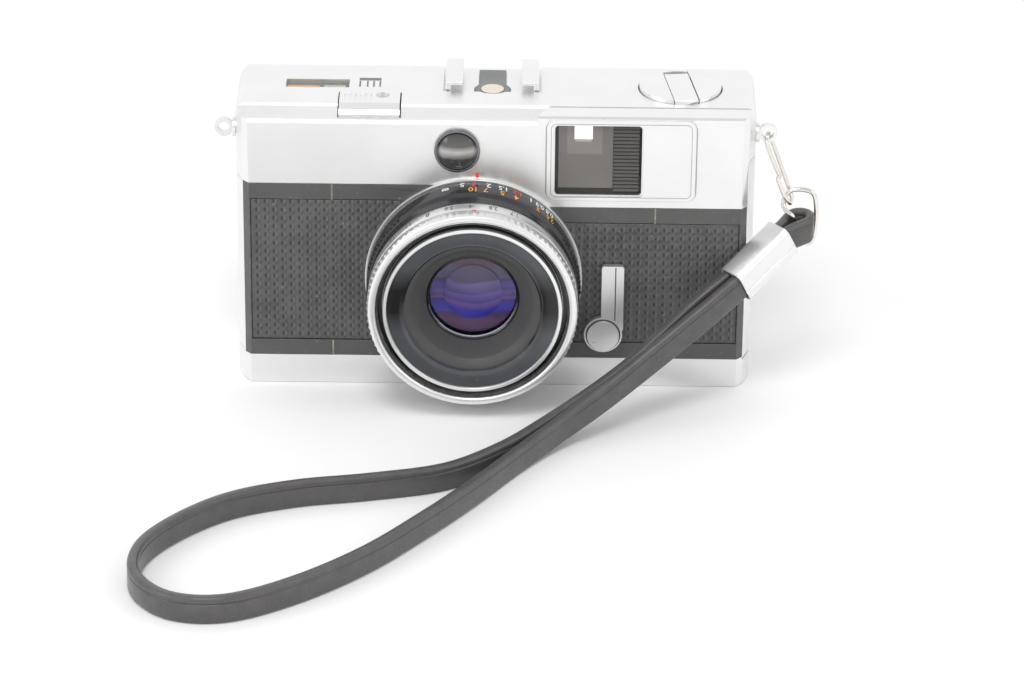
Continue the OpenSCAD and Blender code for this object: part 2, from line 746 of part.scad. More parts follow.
module shoe_insulator() {
    color([0.12, 0.12, 0.12]) difference() {
        translate([0, 0, recess_z]) linear_extrude(0.55) {
            translate([shoe_x, contact_y]) circle(4);
            translate([shoe_x - 3, contact_y]) square([6, 11]);
        }
        translate([shoe_x, contact_y, recess_z - 1]) cylinder(r = 2.6, h = 3);
    }
}

module shoe_contact() {
    color([0.8, 0.75, 0.65]) translate([shoe_x, contact_y, recess_z]) cylinder(r = 2.55, h = 0.75);
}

module strap_lug(side) {
    color([0.85, 0.85, 0.85]) difference() {
        union() {
            translate([side * half_w, lug_y, lug_z]) rotate([0, side * 90, 0]) cylinder(r = 2.2, h = 0.8);
            translate([side * lug_x, lug_y + 0.7, lug_z]) rotate([90, 0, 0]) cylinder(r = lug_r, h = 1.4);
            block([side > 0 ? half_w : -half_w - 1.4, lug_y - 0.7, lug_z - 1.2],
                [side > 0 ? half_w + 1.4 : -half_w, lug_y + 0.7, lug_z + 1.2]);
        }
        translate([side * lug_x, lug_y + 3, lug_z]) rotate([90, 0, 0]) cylinder(r = lug_hole_r, h = 6);
    }
}

module strap_lugs() {
    strap_lug(-1);
    strap_lug(1);
}

module release_button() {
    cable_depth = 2.2;
    color([0.88, 0.88, 0.88]) difference() {
        translate([release_x[0], 0, 0]) rotate([90, 0, 90]) linear_extrude(release_x[1] - release_x[0])
            polygon([[release_y[0], release_low], [release_y[0], deck_z - 1],
                [release_y[0] + 0.8, deck_z - 0.2], [release_y[0] + 3.2, deck_z + 0.45],
                [release_y[1], deck_z + 0.45], [release_y[1], release_low]]);
        translate([cable_pos[0], cable_pos[1], deck_z + 0.45 - cable_depth]) cylinder(r = cable_r, h = 4);
        for (i = [0 : 5]) block([-33.6 + i * 1.18 - 0.3, release_y[0] + 4, deck_z + 0.2],
            [-33.6 + i * 1.18 + 0.3, release_y[1] - 1.5, deck_z + 1]);
    }
}

module release_spring() {
    turns = 2;
    coil = [for (i = [0 : 14 * turns]) [-28 + 1.9 * cos(i * 360 / 14), 0.4 + 1.9 * sin(i * 360 / 14),
        release_shelf_z + 0.25 + (release_low - release_shelf_z - 0.5) * i / (14 * turns)]];
    color([0.7, 0.7, 0.7]) sweep(coil, round_section(0.2, 6));
}

module rewind_disc() {
    color([0.9, 0.9, 0.9]) translate([rewind_x, rewind_y, 0]) rotate([0, 0, crank_turn]) difference() {
        translate([0, 0, disc_low]) cylinder(r = disc_r, h = disc_top - disc_low);
        block([-crank_w / 2 - 0.2, -10, disc_top - 1.05], [crank_w / 2 + 0.2, 10, 70]);
        block([-crank_w / 2 - 0.2, crank_pin_y - 1.3, 65.1], [crank_w / 2 + 0.2, 10, 70]);
        block([-crank_w / 2 - 0.2, -10, disc_low + 0.3], [crank_w / 2 + 0.2, -7.6, 70]);
        translate([-4.5, crank_pin_y, crank_pin_z]) rotate([0, 90, 0]) cylinder(r = crank_pin_r, h = 9);
    }
}

module rewind_shaft() {
    color([0.7, 0.7, 0.7]) translate([rewind_x, rewind_y, 0]) difference() {
        translate([0, 0, fork_z]) cylinder(r = shaft_r, h = disc_low - fork_z);
        for (side = [-1, 1])
            block([-3, side > 0 ? 0.6 : -3, fork_z - 1], [3, side > 0 ? 3 : -0.6, fork_z + 3.5]);
        block([-0.9, -3, fork_z - 1], [0.9, 3, fork_z + 3.5]);
    }
}

// Collar that rises with the shaft and frees the back's catch
module rewind_collar() {
    color([0.6, 0.6, 0.6]) translate([rewind_x, rewind_y, 55]) tube(4.2, shaft_r + fit, 2);
}

module rewind_crank() {
    color([0.85, 0.85, 0.85]) translate([rewind_x, rewind_y, 0]) rotate([0, 0, crank_turn]) difference() {
        union() {
            block([-crank_w / 2, -8.8, disc_top - 0.95], [crank_w / 2, crank_pin_y, crank_pin_z + 1]);
            translate([-crank_w / 2, crank_pin_y, crank_pin_z]) rotate([0, 90, 0])
                cylinder(r = 1, h = crank_w);
            block([-crank_w / 2, -8.8, disc_low + 0.6], [crank_w / 2, -7.9, disc_top - 0.1]);
        }
        translate([-4, crank_pin_y, crank_pin_z]) rotate([0, 90, 0]) cylinder(r = crank_pin_r + fit, h = 8);
    }
}

module crank_pin() {
    color([0.6, 0.6, 0.6]) translate([rewind_x, rewind_y, 0]) rotate([0, 0, crank_turn])
        translate([-4.4, crank_pin_y, crank_pin_z]) rotate([0, 90, 0]) cylinder(r = crank_pin_r, h = 8.8);
}

// ---- self timer ----

module self_timer_lever() {
    color([0.85, 0.85, 0.85]) {
        on_face(0.3, 1.5) {
            translate([timer_x, timer_z]) circle(timer_r);
            translate([timer_arm_x[0], timer_z + 1]) rounded_rect([timer_arm_x[1] - timer_arm_x[0],
                timer_tip_z - timer_z - 1], 0.6);
        }
        on_face(-4, 4.5) translate([timer_x, timer_z]) circle(1.5);
    }
}

module self_timer_cap() {
    color([0.88, 0.88, 0.88]) difference() {
        on_face(1.8, 0.7) translate([timer_x, timer_z]) circle(3.6);
        for (side = [-1, 1]) on_face(2.1, 2) translate([timer_x + side * 2.1, timer_z + side * 1.45])
            circle(0.32, $fn = 24);
    }
}

// ---- film transport ----

module thumbwheel() {
    notches = 60;
    color([0.15, 0.15, 0.15]) translate([wind_x, wind_y, wheel_z[0]]) difference() {
        cylinder(r = wheel_r, h = wheel_z[1] - wheel_z[0]);
        translate([0, 0, -1]) cylinder(r = 3, h = 10);
        for (i = [0 : notches - 1]) rotate(i * 360 / notches) translate([wheel_r + 0.15, 0, -1])
            cylinder(r = 0.45, h = 8, $fn = 16);
    }
}

module takeup_spool() {
    flange_out_r = 10;
    color([0.12, 0.12, 0.12]) translate([wind_x, wind_y, 0]) difference() {
        union() {
            translate([0, 0, chassis_low + 0.2]) cylinder(r = 1.5, h = 3);
            translate([0, 0, floor_z + 0.5]) cylinder(r = flange_out_r, h = 1.2);
            translate([0, 0, floor_z + 0.5]) cylinder(r = 5.5, h = ceiling_z - floor_z - 1);
            translate([0, 0, ceiling_z - 1.7]) cylinder(r = flange_out_r, h = 1.2);
            translate([0, 0, ceiling_z - 1]) cylinder(r = 3, h = wheel_z[1] + 0.4 - ceiling_z + 1);
            translate([0, 0, gear_z[0]]) gear(gear_teeth[0], gear_z[1] - gear_z[0], 0.5);
        }
        for (a = [0, 90]) rotate([0, 0, a]) block([-8, -0.6, 16], [8, 0.6, 38]);
    }
}

module sprocket() {
    teeth = 8;
    film_rows = [lens_z - 14.1, lens_z + 14.1];
    color([0.6, 0.6, 0.62]) translate([sprocket_pos[0], sprocket_pos[1], 0]) {
        translate([0, 0, chassis_low + 0.2]) cylinder(r = 1.5, h = gear_z[1] - chassis_low);
        translate([0, 0, floor_z + 0.5]) cylinder(r = 3.5, h = ceiling_z - floor_z - 1);
        for (z = film_rows) translate([0, 0, z - 3]) cylinder(r = sprocket_r - 0.6, h = 6);
        for (z = film_rows, i = [0 : teeth - 1])
            translate([0, 0, z]) rotate([0, 0, (i + 0.5) * 360 / teeth])
                block([4, -0.7, -0.9], [sprocket_r + 0.5, 0.7, 0.9]);
        translate([0, 0, gear_z[0]]) rotate([0, 0, gear_phase])
            gear(gear_teeth[1], gear_z[1] - gear_z[0], 0.5);
    }
}

// The spool gear's tooth 0 lies on +X; the sprocket gear is turned so a gap faces its neighbour
gear_line = atan2(sprocket_pos[1] - wind_y, sprocket_pos[0] - wind_x);
gear_phase = gear_line + 180 + 180 / gear_teeth[1] + gear_line * gear_teeth[0] / gear_teeth[1];

// ---- back ----

module back_door() {
    side_t = 1.2;
    color([0.84, 0.84, 0.84]) difference() {
        union() {
            translate([0, 0, door_low]) linear_extrude(door_high - door_low) difference() {
                body_plan(0, door_y);
                difference() {
                    body_plan(side_t, door_y);
                    translate([-60, door_y - door_t]) square([120, 10]);
                }
                translate([-70, -60]) square([90, 60 + door_y - door_t]);
                translate([-70, -60]) square([130, 60 + face_y + facet_back[0]]);
                translate([-70, -60]) square([70 + hinge_pos[0], 120]);
            }
            translate([hinge_pos[0], hinge_pos[1], lug_span[1] + 0.2])
                cylinder(r = hinge_barrel_r, h = lug_top_span[0] - lug_span[1] - 0.4);
        }
        translate([hinge_pos[0], hinge_pos[1], 0]) cylinder(r = hinge_pin_r + fit, h = 60);
        for (span = [lug_span, lug_top_span]) translate([hinge_pos[0], hinge_pos[1], span[0] - 0.2])
            cylinder(r = hinge_barrel_r + 0.4, h = span[1] - span[0] + 0.4);
        for (z = [door_low, lug_top_span[1]]) translate([hinge_pos[0], hinge_pos[1], z - 0.3])
            cylinder(r = hinge_barrel_r + 0.4, h = z > 40 ? 8 : lug_span[0] - door_low + 0.5);
    }
}

module hinge_pin() {
    color([0.7, 0.7, 0.7]) translate([hinge_pos[0], hinge_pos[1], lug_span[0]])
        cylinder(r = hinge_pin_r, h = lug_top_span[1] - lug_span[0]);
}

module door_leatherette() {
    color([0.14, 0.14, 0.14]) block([-49, door_y, 9], [49.5, door_y + 0.5, 52.5]);
}

module pressure_plate() {
    color([0.2, 0.2, 0.2]) {
        block([lens_x - 18, film_y + 0.6, lens_z - 15], [lens_x + 18, film_y + 1.6, lens_z + 15]);
        for (side = [-1, 1]) block([lens_x + side * 12 - 2, film_y + 1.6, lens_z - 3],
            [lens_x + side * 12 + 2, door_y - door_t, lens_z + 3]);
    }
}

// ---- base fittings ----

module tripod_bush() {
    depth = 5.2;
    color([0.8, 0.8, 0.8]) translate([tripod_pos[0], tripod_pos[1], 0]) difference() {
        union() {
            cylinder(r = 5.95, h = 1.2);
            translate([0, 0, 1.2]) cylinder(r = 7.2, h = 5.4);
        }
        translate([0, 0, -1]) cylinder(r = 2.55, h = depth + 1);
    }
}

module battery_holder() {
    color([0.1, 0.1, 0.1]) translate([battery_pos[0], battery_pos[1], 1.2]) difference() {
        cylinder(r = 9.4, h = 8);
        translate([0, 0, -1]) cylinder(r = battery_r + 0.2, h = 8);
        translate([0, 0, -1]) cylinder(r = 8.75, h = 1.7);
    }
}

module battery() {
    color([0.75, 0.75, 0.7]) translate([battery_pos[0], battery_pos[1], 2]) {
        cylinder(r = 6.4, h = 6);
        translate([0, 0, 0.8]) cylinder(r = battery_r - 0.1, h = 5.2);
    }
}

module battery_cap() {
    color([0.8, 0.8, 0.8]) translate([battery_pos[0], battery_pos[1], 0.2]) difference() {
        cylinder(r = 8.6, h = 1.5);
        block([-6, -0.8, -1], [6, 0.8, 0.6]);
    }
}

module rewind_button() {
    color([0.8, 0.8, 0.8]) translate([rewind_button_pos[0], rewind_button_pos[1], 0.2])
        cylinder(r = 2.5, h = 2);
}

// ---- strap ----

module strap_clip() {
    color([0.85, 0.83, 0.8]) sweep(clip_path, round_section(wire_r, 8), [0.96, 0, 0.27], true);
}

module strap_ring() {
    color([0.85, 0.83, 0.8]) sweep(ring_path, round_section(0.55, 8), [0, 1, 0], true);
}

// The short strap end that folds round the ring's lower bar and back into the ferrule
module strap_tab() {
    along = unit(bar_middle - ferrule_a);
    side = unit([-along[1], along[0], 0]);
    turn_r = 2.6;
    fold = [for (a = [90 : -30 : -90]) bar_middle + turn_r * (cos(a) * along + sin(a) * side)];
    path = concat([ferrule_a - along + 1.3 * side, ferrule_a + 1.5 * along + 1.6 * side], fold,
        [ferrule_a + 1.5 * along - 1.6 * side, ferrule_a - along - 1.3 * side]);
    color([0.17, 0.17, 0.18]) sweep(path, strap_section(2, strap_w, 0.4));
}

module strap_ferrule() {
    color([0.85, 0.85, 0.85]) difference() {
        sweep([ferrule_a, ferrule_b], strap_section(7, 8, 1.2));
        sweep([ferrule_a + [1, 1, 1], ferrule_b - [1, 1, 1]], strap_section(6, 7, 0.8));
    }
}

module strap_loop() {
    color([0.17, 0.17, 0.18]) sweep(strap_route, strap_section(strap_t, strap_w, 0.4));
}

chassis();
chassis_plates();
front_plate();
end_trims();
leatherette_left();
leatherette_right();
side_plate_left();
top_cover();
bottom_cover();
finder_frame();
finder_window();
finder_grille();
finder_tube();
finder_eyepiece();
meter_bezel();
meter_dome();
counter_window();
accessory_shoe();
shoe_insulator();
shoe_contact();
strap_lugs();
tripod_bush();
battery_holder();
battery();
battery_cap();
base_screws();
light_seals();
hinge_pin();
lens_flange();
shutter_housing();
release_spring();
release_button();
self_timer_lever();
self_timer_cap();
focus_ring();
lens_cell();
front_ring();
name_ring();
front_cone();
front_element();
aperture_blades();
aperture_ring();
rewind_disc();
rewind_shaft();
rewind_collar();
rewind_crank();
crank_pin();
thumbwheel();
takeup_spool();
sprocket();
counter_dial();
back_door();
door_leatherette();
pressure_plate();
rewind_button();
strap_clip();
strap_ring();
strap_ferrule();
strap_tab();
strap_loop();
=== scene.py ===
import math

import bmesh
import bpy
from mathutils import Matrix, Vector


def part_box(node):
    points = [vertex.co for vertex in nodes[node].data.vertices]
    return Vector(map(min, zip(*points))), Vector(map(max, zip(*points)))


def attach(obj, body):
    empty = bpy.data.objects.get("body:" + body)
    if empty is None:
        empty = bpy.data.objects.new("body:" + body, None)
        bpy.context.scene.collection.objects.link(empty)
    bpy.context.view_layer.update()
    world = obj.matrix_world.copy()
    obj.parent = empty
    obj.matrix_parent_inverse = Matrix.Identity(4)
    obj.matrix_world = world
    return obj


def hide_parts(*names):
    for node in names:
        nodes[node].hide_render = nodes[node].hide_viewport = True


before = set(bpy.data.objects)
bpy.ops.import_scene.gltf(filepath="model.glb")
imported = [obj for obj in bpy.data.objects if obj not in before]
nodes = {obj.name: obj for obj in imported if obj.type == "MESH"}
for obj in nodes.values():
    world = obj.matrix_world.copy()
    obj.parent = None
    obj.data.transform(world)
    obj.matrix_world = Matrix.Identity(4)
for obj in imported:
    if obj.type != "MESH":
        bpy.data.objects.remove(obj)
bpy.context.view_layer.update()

MM = 0.001
UP = Vector((0, 0, 1))


def span(node):
    """Lowest and highest corner of a CAD node, in millimetres."""
    low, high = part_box(node)
    return low / MM, high / MM


# ---- places taken from the frame, in millimetres ----

flange_low, flange_high = span("lens_flange")
FACE_Y = flange_high.y
LENS_X = (flange_low.x + flange_high.x) / 2
LENS_Z = (flange_low.z + flange_high.z) / 2
DECK_Z = span("top_cover")[1].z
FOCUS_OUT = FACE_Y - span("focus_ring")[1].y
APERTURE_OUT = FACE_Y - span("aperture_ring")[1].y
FRONT_OUT = FACE_Y - span("front_ring")[0].y
RING_R = (span("aperture_ring")[1].x - span("aperture_ring")[0].x) / 2
GLASS_R = (span("front_element")[1].x - span("front_element")[0].x) / 2

# The strap's width, its thickness and its route, which has the points of the CAD cord
STRAP_W = 6.0
STRAP_T = 2.4
STRAP_ROUTE = [
    (54.9, -14.1, 28.9), (48, -18.5, 24.4), (40, -22.5, 18.8), (32, -26.5, 13.4),
    (24, -31.5, 8.8), (15, -38, 4.8), (6, -49, 3.1), (-4, -65, 3.1), (-14, -79.5, 3.1),
    (-26, -95, 3.1), (-40, -108, 3.1), (-54, -116, 3.1), (-66, -115, 3.1),
    (-73.5, -106, 3.1), (-73.5, -94, 3.1), (-67, -82.5, 3.1), (-56, -72, 3.1),
    (-42, -66, 3.1), (-26, -62.5, 3.1), (-10, -57.5, 3.1), (2, -47.5, 3.1),
    (11.5, -36.8, 3.8), (22, -28.5, 7.4), (30.5, -23.5, 12), (38.5, -19.3, 18),
    (46.5, -15.3, 24.5), (53.3, -11.5, 28.9)]

# Ends of the ferrule, on the tab's side and on the loop's side
FERRULE_A = Vector((64.7, -4.3, 36.5))
FERRULE_B = Vector((54, -12.8, 28.7))
# Middle of the ring's straight side, which the strap's tab folds round
BAR_MIDDLE = Vector((68.2, -0.8, 37.4))

# The clip's wire, from the lug down to the ring and back up, with a step in its near side
CLIP_PATH = [
    (60.8, 1, 59.5), (60.9, 1.7, 59.4), (61.1, 2.4, 58.9), (61.8, 2.6, 57), (66.3, 2.3, 44.5),
    (66.5, 1.9, 43), (66.4, 1, 42.5), (65.9, 0.1, 43), (64.9, -0.5, 44.7), (63.4, -0.6, 48.6),
    (63.3, -0.6, 49.4), (63.6, -0.6, 49.9), (63.2, -0.6, 50.7), (60.7, -0.6, 57), (60.5, -0.4, 58.9),
    (60.7, 0.3, 59.4)]

# The ring's wire, once round
RING_PATH = [
    (65.3, 0.7, 44.6), (66.8, 1, 45.7), (70, 1, 45.6), (71.8, 0.9, 44), (72.2, 0.6, 38.5),
    (71.6, 0.2, 34), (70.4, 0, 33), (69.6, -0.2, 34.5), (68.2, -0.8, 37.4), (66.8, -1.4, 40.2),
    (65.4, -0.9, 41.3), (64.7, 0, 42.7)]


# ---- camera ----

def add_camera():
    """Looks at the front of the camera from a little above, with a long lens."""
    place = Vector((0.007997, -0.952065, 0.482818))
    yaw = math.radians(0.237)
    elevation = math.radians(26.54)
    roll = math.radians(0.571)
    right = Vector((math.cos(yaw), math.sin(yaw), 0))
    forward = Vector((-math.sin(yaw) * math.cos(elevation),
                      math.cos(yaw) * math.cos(elevation), -math.sin(elevation)))
    up = right.cross(forward)
    turned_right = right * math.cos(roll) + up * math.sin(roll)
    turned_up = up * math.cos(roll) - right * math.sin(roll)
    data = bpy.data.cameras.new("camera")
    data.lens = 164.07
    data.sensor_width = 36
    data.clip_end = 20
    obj = bpy.data.objects.new("camera", data)
    bpy.context.scene.collection.objects.link(obj)
    turn = Matrix((turned_right, turned_up, -forward)).transposed().to_4x4()
    obj.matrix_world = Matrix.Translation(place) @ turn
    bpy.context.scene.camera = obj


add_camera()


# ---- material helpers ----

def new_node(tree, kind, **values):
    node = tree.nodes.new(kind)
    for key, value in values.items():
        setattr(node, key, value)
    return node


def new_material(name):
    m = bpy.data.materials.new(name)
    m.use_nodes = True
    return m, m.node_tree


def texture_axes(tree, system="Object"):
    """Texture coordinates, by default the piece's own, whole and as X, Y and Z apart."""
    coords = new_node(tree, "ShaderNodeTexCoord")
    split = new_node(tree, "ShaderNodeSeparateXYZ")
    tree.links.new(coords.outputs[system], split.inputs[0])
    return coords, split.outputs


def math_node(tree, operation, *values):
    """One Math node; each value is a number or another node's output."""
    node = new_node(tree, "ShaderNodeMath", operation=operation)
    for socket, value in zip(node.inputs, values):
        if isinstance(value, (int, float)):
            socket.default_value = value
        else:
            tree.links.new(value, socket)
    return node.outputs[0]


def noise(tree, coords, scale, detail=3.0, rough=0.55):
    node = new_node(tree, "ShaderNodeTexNoise")
    node.inputs["Scale"].default_value = scale
    node.inputs["Detail"].default_value = detail
    node.inputs["Roughness"].default_value = rough
    tree.links.new(coords.outputs["Object"], node.inputs["Vector"])
    return node.outputs["Fac"]


def remap(tree, source, low, high, out_low, out_high):
    node = new_node(tree, "ShaderNodeMapRange")
    for key, value in (("From Min", low), ("From Max", high), ("To Min", out_low), ("To Max", out_high)):
        node.inputs[key].default_value = value
    tree.links.new(source, node.inputs["Value"])
    return node.outputs["Result"]


def mix_colour(tree, factor, a, b):
    node = new_node(tree, "ShaderNodeMix", data_type="RGBA")
    tree.links.new(factor, node.inputs[0])
    for socket, value in ((node.inputs[6], a), (node.inputs[7], b)):
        if isinstance(value, tuple):
            socket.default_value = (*value[:3], 1)
        else:
            tree.links.new(value, socket)
    return node.outputs[2]


def colour_ramp(tree, factor, stops):
    """Colour along a factor, through stops of (position, colour)."""
    node = new_node(tree, "ShaderNodeValToRGB")
    tree.links.new(factor, node.inputs["Fac"])
    while len(node.color_ramp.elements) < len(stops):
        node.color_ramp.elements.new(0.5)
    for element, (position, colour) in zip(node.color_ramp.elements, stops):
        element.position = position
        element.color = (*colour, 1)
    return node.outputs["Color"]


def edge_mask(tree, radius):
    """1 on sharp outer edges, 0 on flat ground."""
    rounded = new_node(tree, "ShaderNodeBevel", samples=4)
    rounded.inputs["Radius"].default_value = radius
    geometry = new_node(tree, "ShaderNodeNewGeometry")
    dot = new_node(tree, "ShaderNodeVectorMath", operation="DOT_PRODUCT")
    tree.links.new(rounded.outputs["Normal"], dot.inputs[0])
    tree.links.new(geometry.outputs["Normal"], dot.inputs[1])
    return remap(tree, dot.outputs["Value"], 0.995, 0.85, 0.0, 1.0)


def shade(amount, colour):
    return tuple(min(1.0, c * amount) for c in colour[:3])


def material(name, colour, rough, metallic=0.0, vary=0.08, blotch=90.0, grain=3500.0, bump=0.1,
             speck=0.0, wear=None, wear_width=0.25, **sockets):
    """A surface whose colour, roughness and height all vary; wear is the colour at its edges."""
    m, tree = new_material(name)
    shader = tree.nodes["Principled BSDF"]
    coords = new_node(tree, "ShaderNodeTexCoord")
    broad = remap(tree, noise(tree, coords, blotch), 0.3, 0.7, 0, 1)
    fine = noise(tree, coords, grain, 2.0, 0.6)
    out = mix_colour(tree, broad, shade(1 - vary, colour), shade(1 + vary, colour))
    if speck:
        dust = remap(tree, noise(tree, coords, 900.0, 2.0, 0.7), 0.68, 0.74, 0.0, speck)
        out = mix_colour(tree, dust, out, (0.45, 0.42, 0.38))
    if wear:
        patches = remap(tree, noise(tree, coords, 500.0), 0.4, 0.65, 0.0, 0.8)
        worn = math_node(tree, "MULTIPLY", edge_mask(tree, wear_width * MM), patches)
        out = mix_colour(tree, worn, out, wear)
    tree.links.new(out, shader.inputs["Base Color"])
    roughness = remap(tree, fine, 0.3, 0.7, rough * 0.85, min(1.0, rough * 1.15))
    tree.links.new(roughness, shader.inputs["Roughness"])
    if bump:
        height = new_node(tree, "ShaderNodeBump")
        height.inputs["Strength"].default_value = bump
        height.inputs["Distance"].default_value = 0.05 * MM
        tree.links.new(fine, height.inputs["Height"])
        tree.links.new(height.outputs["Normal"], shader.inputs["Normal"])
    shader.inputs["Metallic"].default_value = metallic
    for key, value in sockets.items():
        shader.inputs[key.replace("_", " ")].default_value = value
    return m


def cell_offset(tree, source, pitch, middle):
    """Distance from the middle of each cell of a repeating grid, in cells."""
    cells = math_node(tree, "MULTIPLY_ADD", source, 1 / (pitch * MM), 100.5 - middle)
    return math_node(tree, "SUBTRACT", math_node(tree, "FRACT", cells), 0.5)


def paint_pit_shade_and_highlight(m, dark, light):
    """Paints shade into the pits of the embossed grid and a highlight on the edge to the right of each one.
    """
    tree = m.node_tree
    base = tree.nodes["Principled BSDF"].inputs["Base Color"]
    split = texture_axes(tree)[1]
    colour = base.links[0].from_socket
    # Shift, width, height and colour of the painted highlight, then of the painted shade
    for shift, wide, high, tone in ((0.2, 0.13, 0.3, light), (-0.04, 0.19, 0.3, dark)):
        across = cell_offset(tree, split["X"], PITCH_X, shift)
        upward = cell_offset(tree, split["Z"], PITCH_Z, 0)
        joined = new_node(tree, "ShaderNodeCombineXYZ")
        tree.links.new(math_node(tree, "DIVIDE", across, wide), joined.inputs[0])
        tree.links.new(math_node(tree, "DIVIDE", upward, high), joined.inputs[1])
        away = new_node(tree, "ShaderNodeVectorMath", operation="LENGTH")
        tree.links.new(joined.outputs[0], away.inputs[0])
        colour = mix_colour(tree, remap(tree, away.outputs["Value"], 1.2, 0.5, 0.0, 0.7), colour, tone)
    tree.links.new(colour, base)


def glass(name, tint, clear, rough=0.03):
    """Thin coated glass: mostly clear, with a glossy reflection."""
    m, tree = new_material(name)
    tree.nodes.remove(tree.nodes["Principled BSDF"])
    output = tree.nodes["Material Output"]
    see = new_node(tree, "ShaderNodeBsdfTransparent")
    gloss = new_node(tree, "ShaderNodeBsdfGlossy")
    facing = new_node(tree, "ShaderNodeFresnel")
    facing.inputs["IOR"].default_value = 1.5
    coords = new_node(tree, "ShaderNodeTexCoord")
    smear = noise(tree, coords, 160.0)
    see.inputs["Color"].default_value = (*clear, 1)
    tree.links.new(mix_colour(tree, smear, shade(0.8, tint), tint), gloss.inputs["Color"])
    tree.links.new(remap(tree, smear, 0.3, 0.8, rough, rough * 3), gloss.inputs["Roughness"])
    outside = remap(tree, new_node(tree, "ShaderNodeNewGeometry").outputs["Backfacing"], 0, 1, 1, 0)
    mix = new_node(tree, "ShaderNodeMixShader")
    tree.links.new(math_node(tree, "MULTIPLY", facing.outputs["Fac"], outside), mix.inputs[0])
    tree.links.new(see.outputs[0], mix.inputs[1])
    tree.links.new(gloss.outputs[0], mix.inputs[2])
    tree.links.new(mix.outputs[0], output.inputs["Surface"])
    return m


# The embossed grid of the leatherette, across and up
PITCH_X, PITCH_Z = 1.9, 2.05

SILVER = material("satin_silver", (0.845, 0.85, 0.845), 0.34, 0.9, vary=0.02, grain=6000, bump=0.12)
NICKEL = material("polished_nickel", (0.82, 0.79, 0.75), 0.14, 1.0, vary=0.06, blotch=400, bump=0.04)
PAINT = material("black_paint", (0.085, 0.084, 0.083), 0.33, vary=0.12, grain=1500, bump=0.12,
                 speck=0.35, wear=(0.3, 0.29, 0.26))
CAST = material("cast_black", (0.025, 0.025, 0.026), 0.6, vary=0.15, grain=2500, bump=0.3)
SKIN = material("leatherette", (0.09, 0.088, 0.088), 0.5, vary=0.2, blotch=220, grain=5200, bump=0.6,
                speck=0.3)
# Painted shade in the pits and a painted highlight on their right edges
paint_pit_shade_and_highlight(SKIN, (0.012, 0.012, 0.012), (0.15, 0.15, 0.15))
LENS_BLACK = material("black_anodised", (0.03, 0.03, 0.033), 0.24, vary=0.1, grain=2600, bump=0.08,
                      speck=0.2, wear=(0.25, 0.24, 0.22), wear_width=0.15)
RIDGED = material("matt_lens_black", (0.06, 0.06, 0.061), 0.5, vary=0.08, grain=3000, bump=0.1)
GLOSS_BLACK = material("gloss_black", (0.012, 0.012, 0.015), 0.1, vary=0.1, bump=0.02, Coat_Weight=0.5)
RIB_BLACK_LIT = material("ribbed_black_lit", (0.085, 0.085, 0.084), 0.35, vary=0.1, grain=2800, bump=0.1)
PLASTIC = material("black_plastic", (0.02, 0.02, 0.021), 0.45, vary=0.1, grain=2800, bump=0.15)
GREY = material("finder_grey", (0.29, 0.285, 0.28), 0.45, vary=0.12, grain=2000, bump=0.05)
PALE_GREY = material("finder_pale_grey", (0.38, 0.375, 0.37), 0.45, vary=0.1, grain=2000, bump=0.05)
DARK_CHROME = material("dark_chrome", (0.2, 0.2, 0.21), 0.2, 1.0, vary=0.1, bump=0.04)
STEEL = material("machined_steel", (0.6, 0.6, 0.59), 0.3, 1.0, vary=0.06, grain=2500, bump=0.1)
BRASS = material("brass", (0.75, 0.62, 0.42), 0.28, 1.0, vary=0.08, bump=0.06)
FOAM = material("foam", (0.02, 0.02, 0.02), 0.9, vary=0.2, grain=2500, bump=0.9)
VINYL = material("strap_vinyl", (0.086, 0.083, 0.082), 0.3, vary=0.12, blotch=300, grain=4200, bump=0.25)
WHITE_INK = material("white_ink", (0.85, 0.85, 0.85), 0.5, vary=0.05, bump=0.05)
ORANGE_INK = material("orange_ink", (0.85, 0.38, 0.04), 0.5, vary=0.08, bump=0.05)
RED_INK = material("red_ink", (0.75, 0.06, 0.05), 0.5, vary=0.08, bump=0.05)
GREY_INK = material("grey_ink", (0.16, 0.17, 0.17), 0.5, vary=0.08, bump=0.05)
# Painted shade for the groove and the cap seam of the self-timer
SHADE_LINE = material("painted_shade_line", (0.05, 0.05, 0.05), 0.5, vary=0.1, bump=0.05)
SLATE = material("shoe_grey", (0.2, 0.21, 0.21), 0.4, 0.3, vary=0.12, bump=0.1)
PALE_METAL = material("contact_metal", (0.78, 0.72, 0.62), 0.3, 0.8, vary=0.08, bump=0.08)
CLEAR_GLASS = glass("clear_glass", (0.7, 0.69, 0.68), (0.88, 0.87, 0.86), 0.08)
COUNTER_GLASS = glass("counter_glass", (0.8, 0.8, 0.8), (0.96, 0.96, 0.95), 0.05)
COATED_GLASS = glass("coated_glass", (0.62, 0.56, 0.7), (0.9, 0.87, 0.92), 0.1)


# ---- mesh helpers ----

def make(name, points, faces, mat, body, slot, replaces=(), smooth=True):
    """A piece from points in millimetres in the row frame."""
    mesh = bpy.data.meshes.new(name)
    mesh.from_pydata([Vector(p) * MM for p in points], [], faces)
    mesh.update()
    mended = bmesh.new()
    mended.from_mesh(mesh)
    bmesh.ops.recalc_face_normals(mended, faces=mended.faces)
    mended.to_mesh(mesh)
    mended.free()
    mesh.materials.append(mat)
    for face in mesh.polygons:
        face.use_smooth = smooth
    obj = bpy.data.objects.new(name, mesh)
    bpy.context.scene.collection.objects.link(obj)
    if smooth:
        mesh.set_sharp_from_angle(angle=math.radians(38))
    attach(obj, body)
    if replaces:
        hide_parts(*replaces)
    return obj


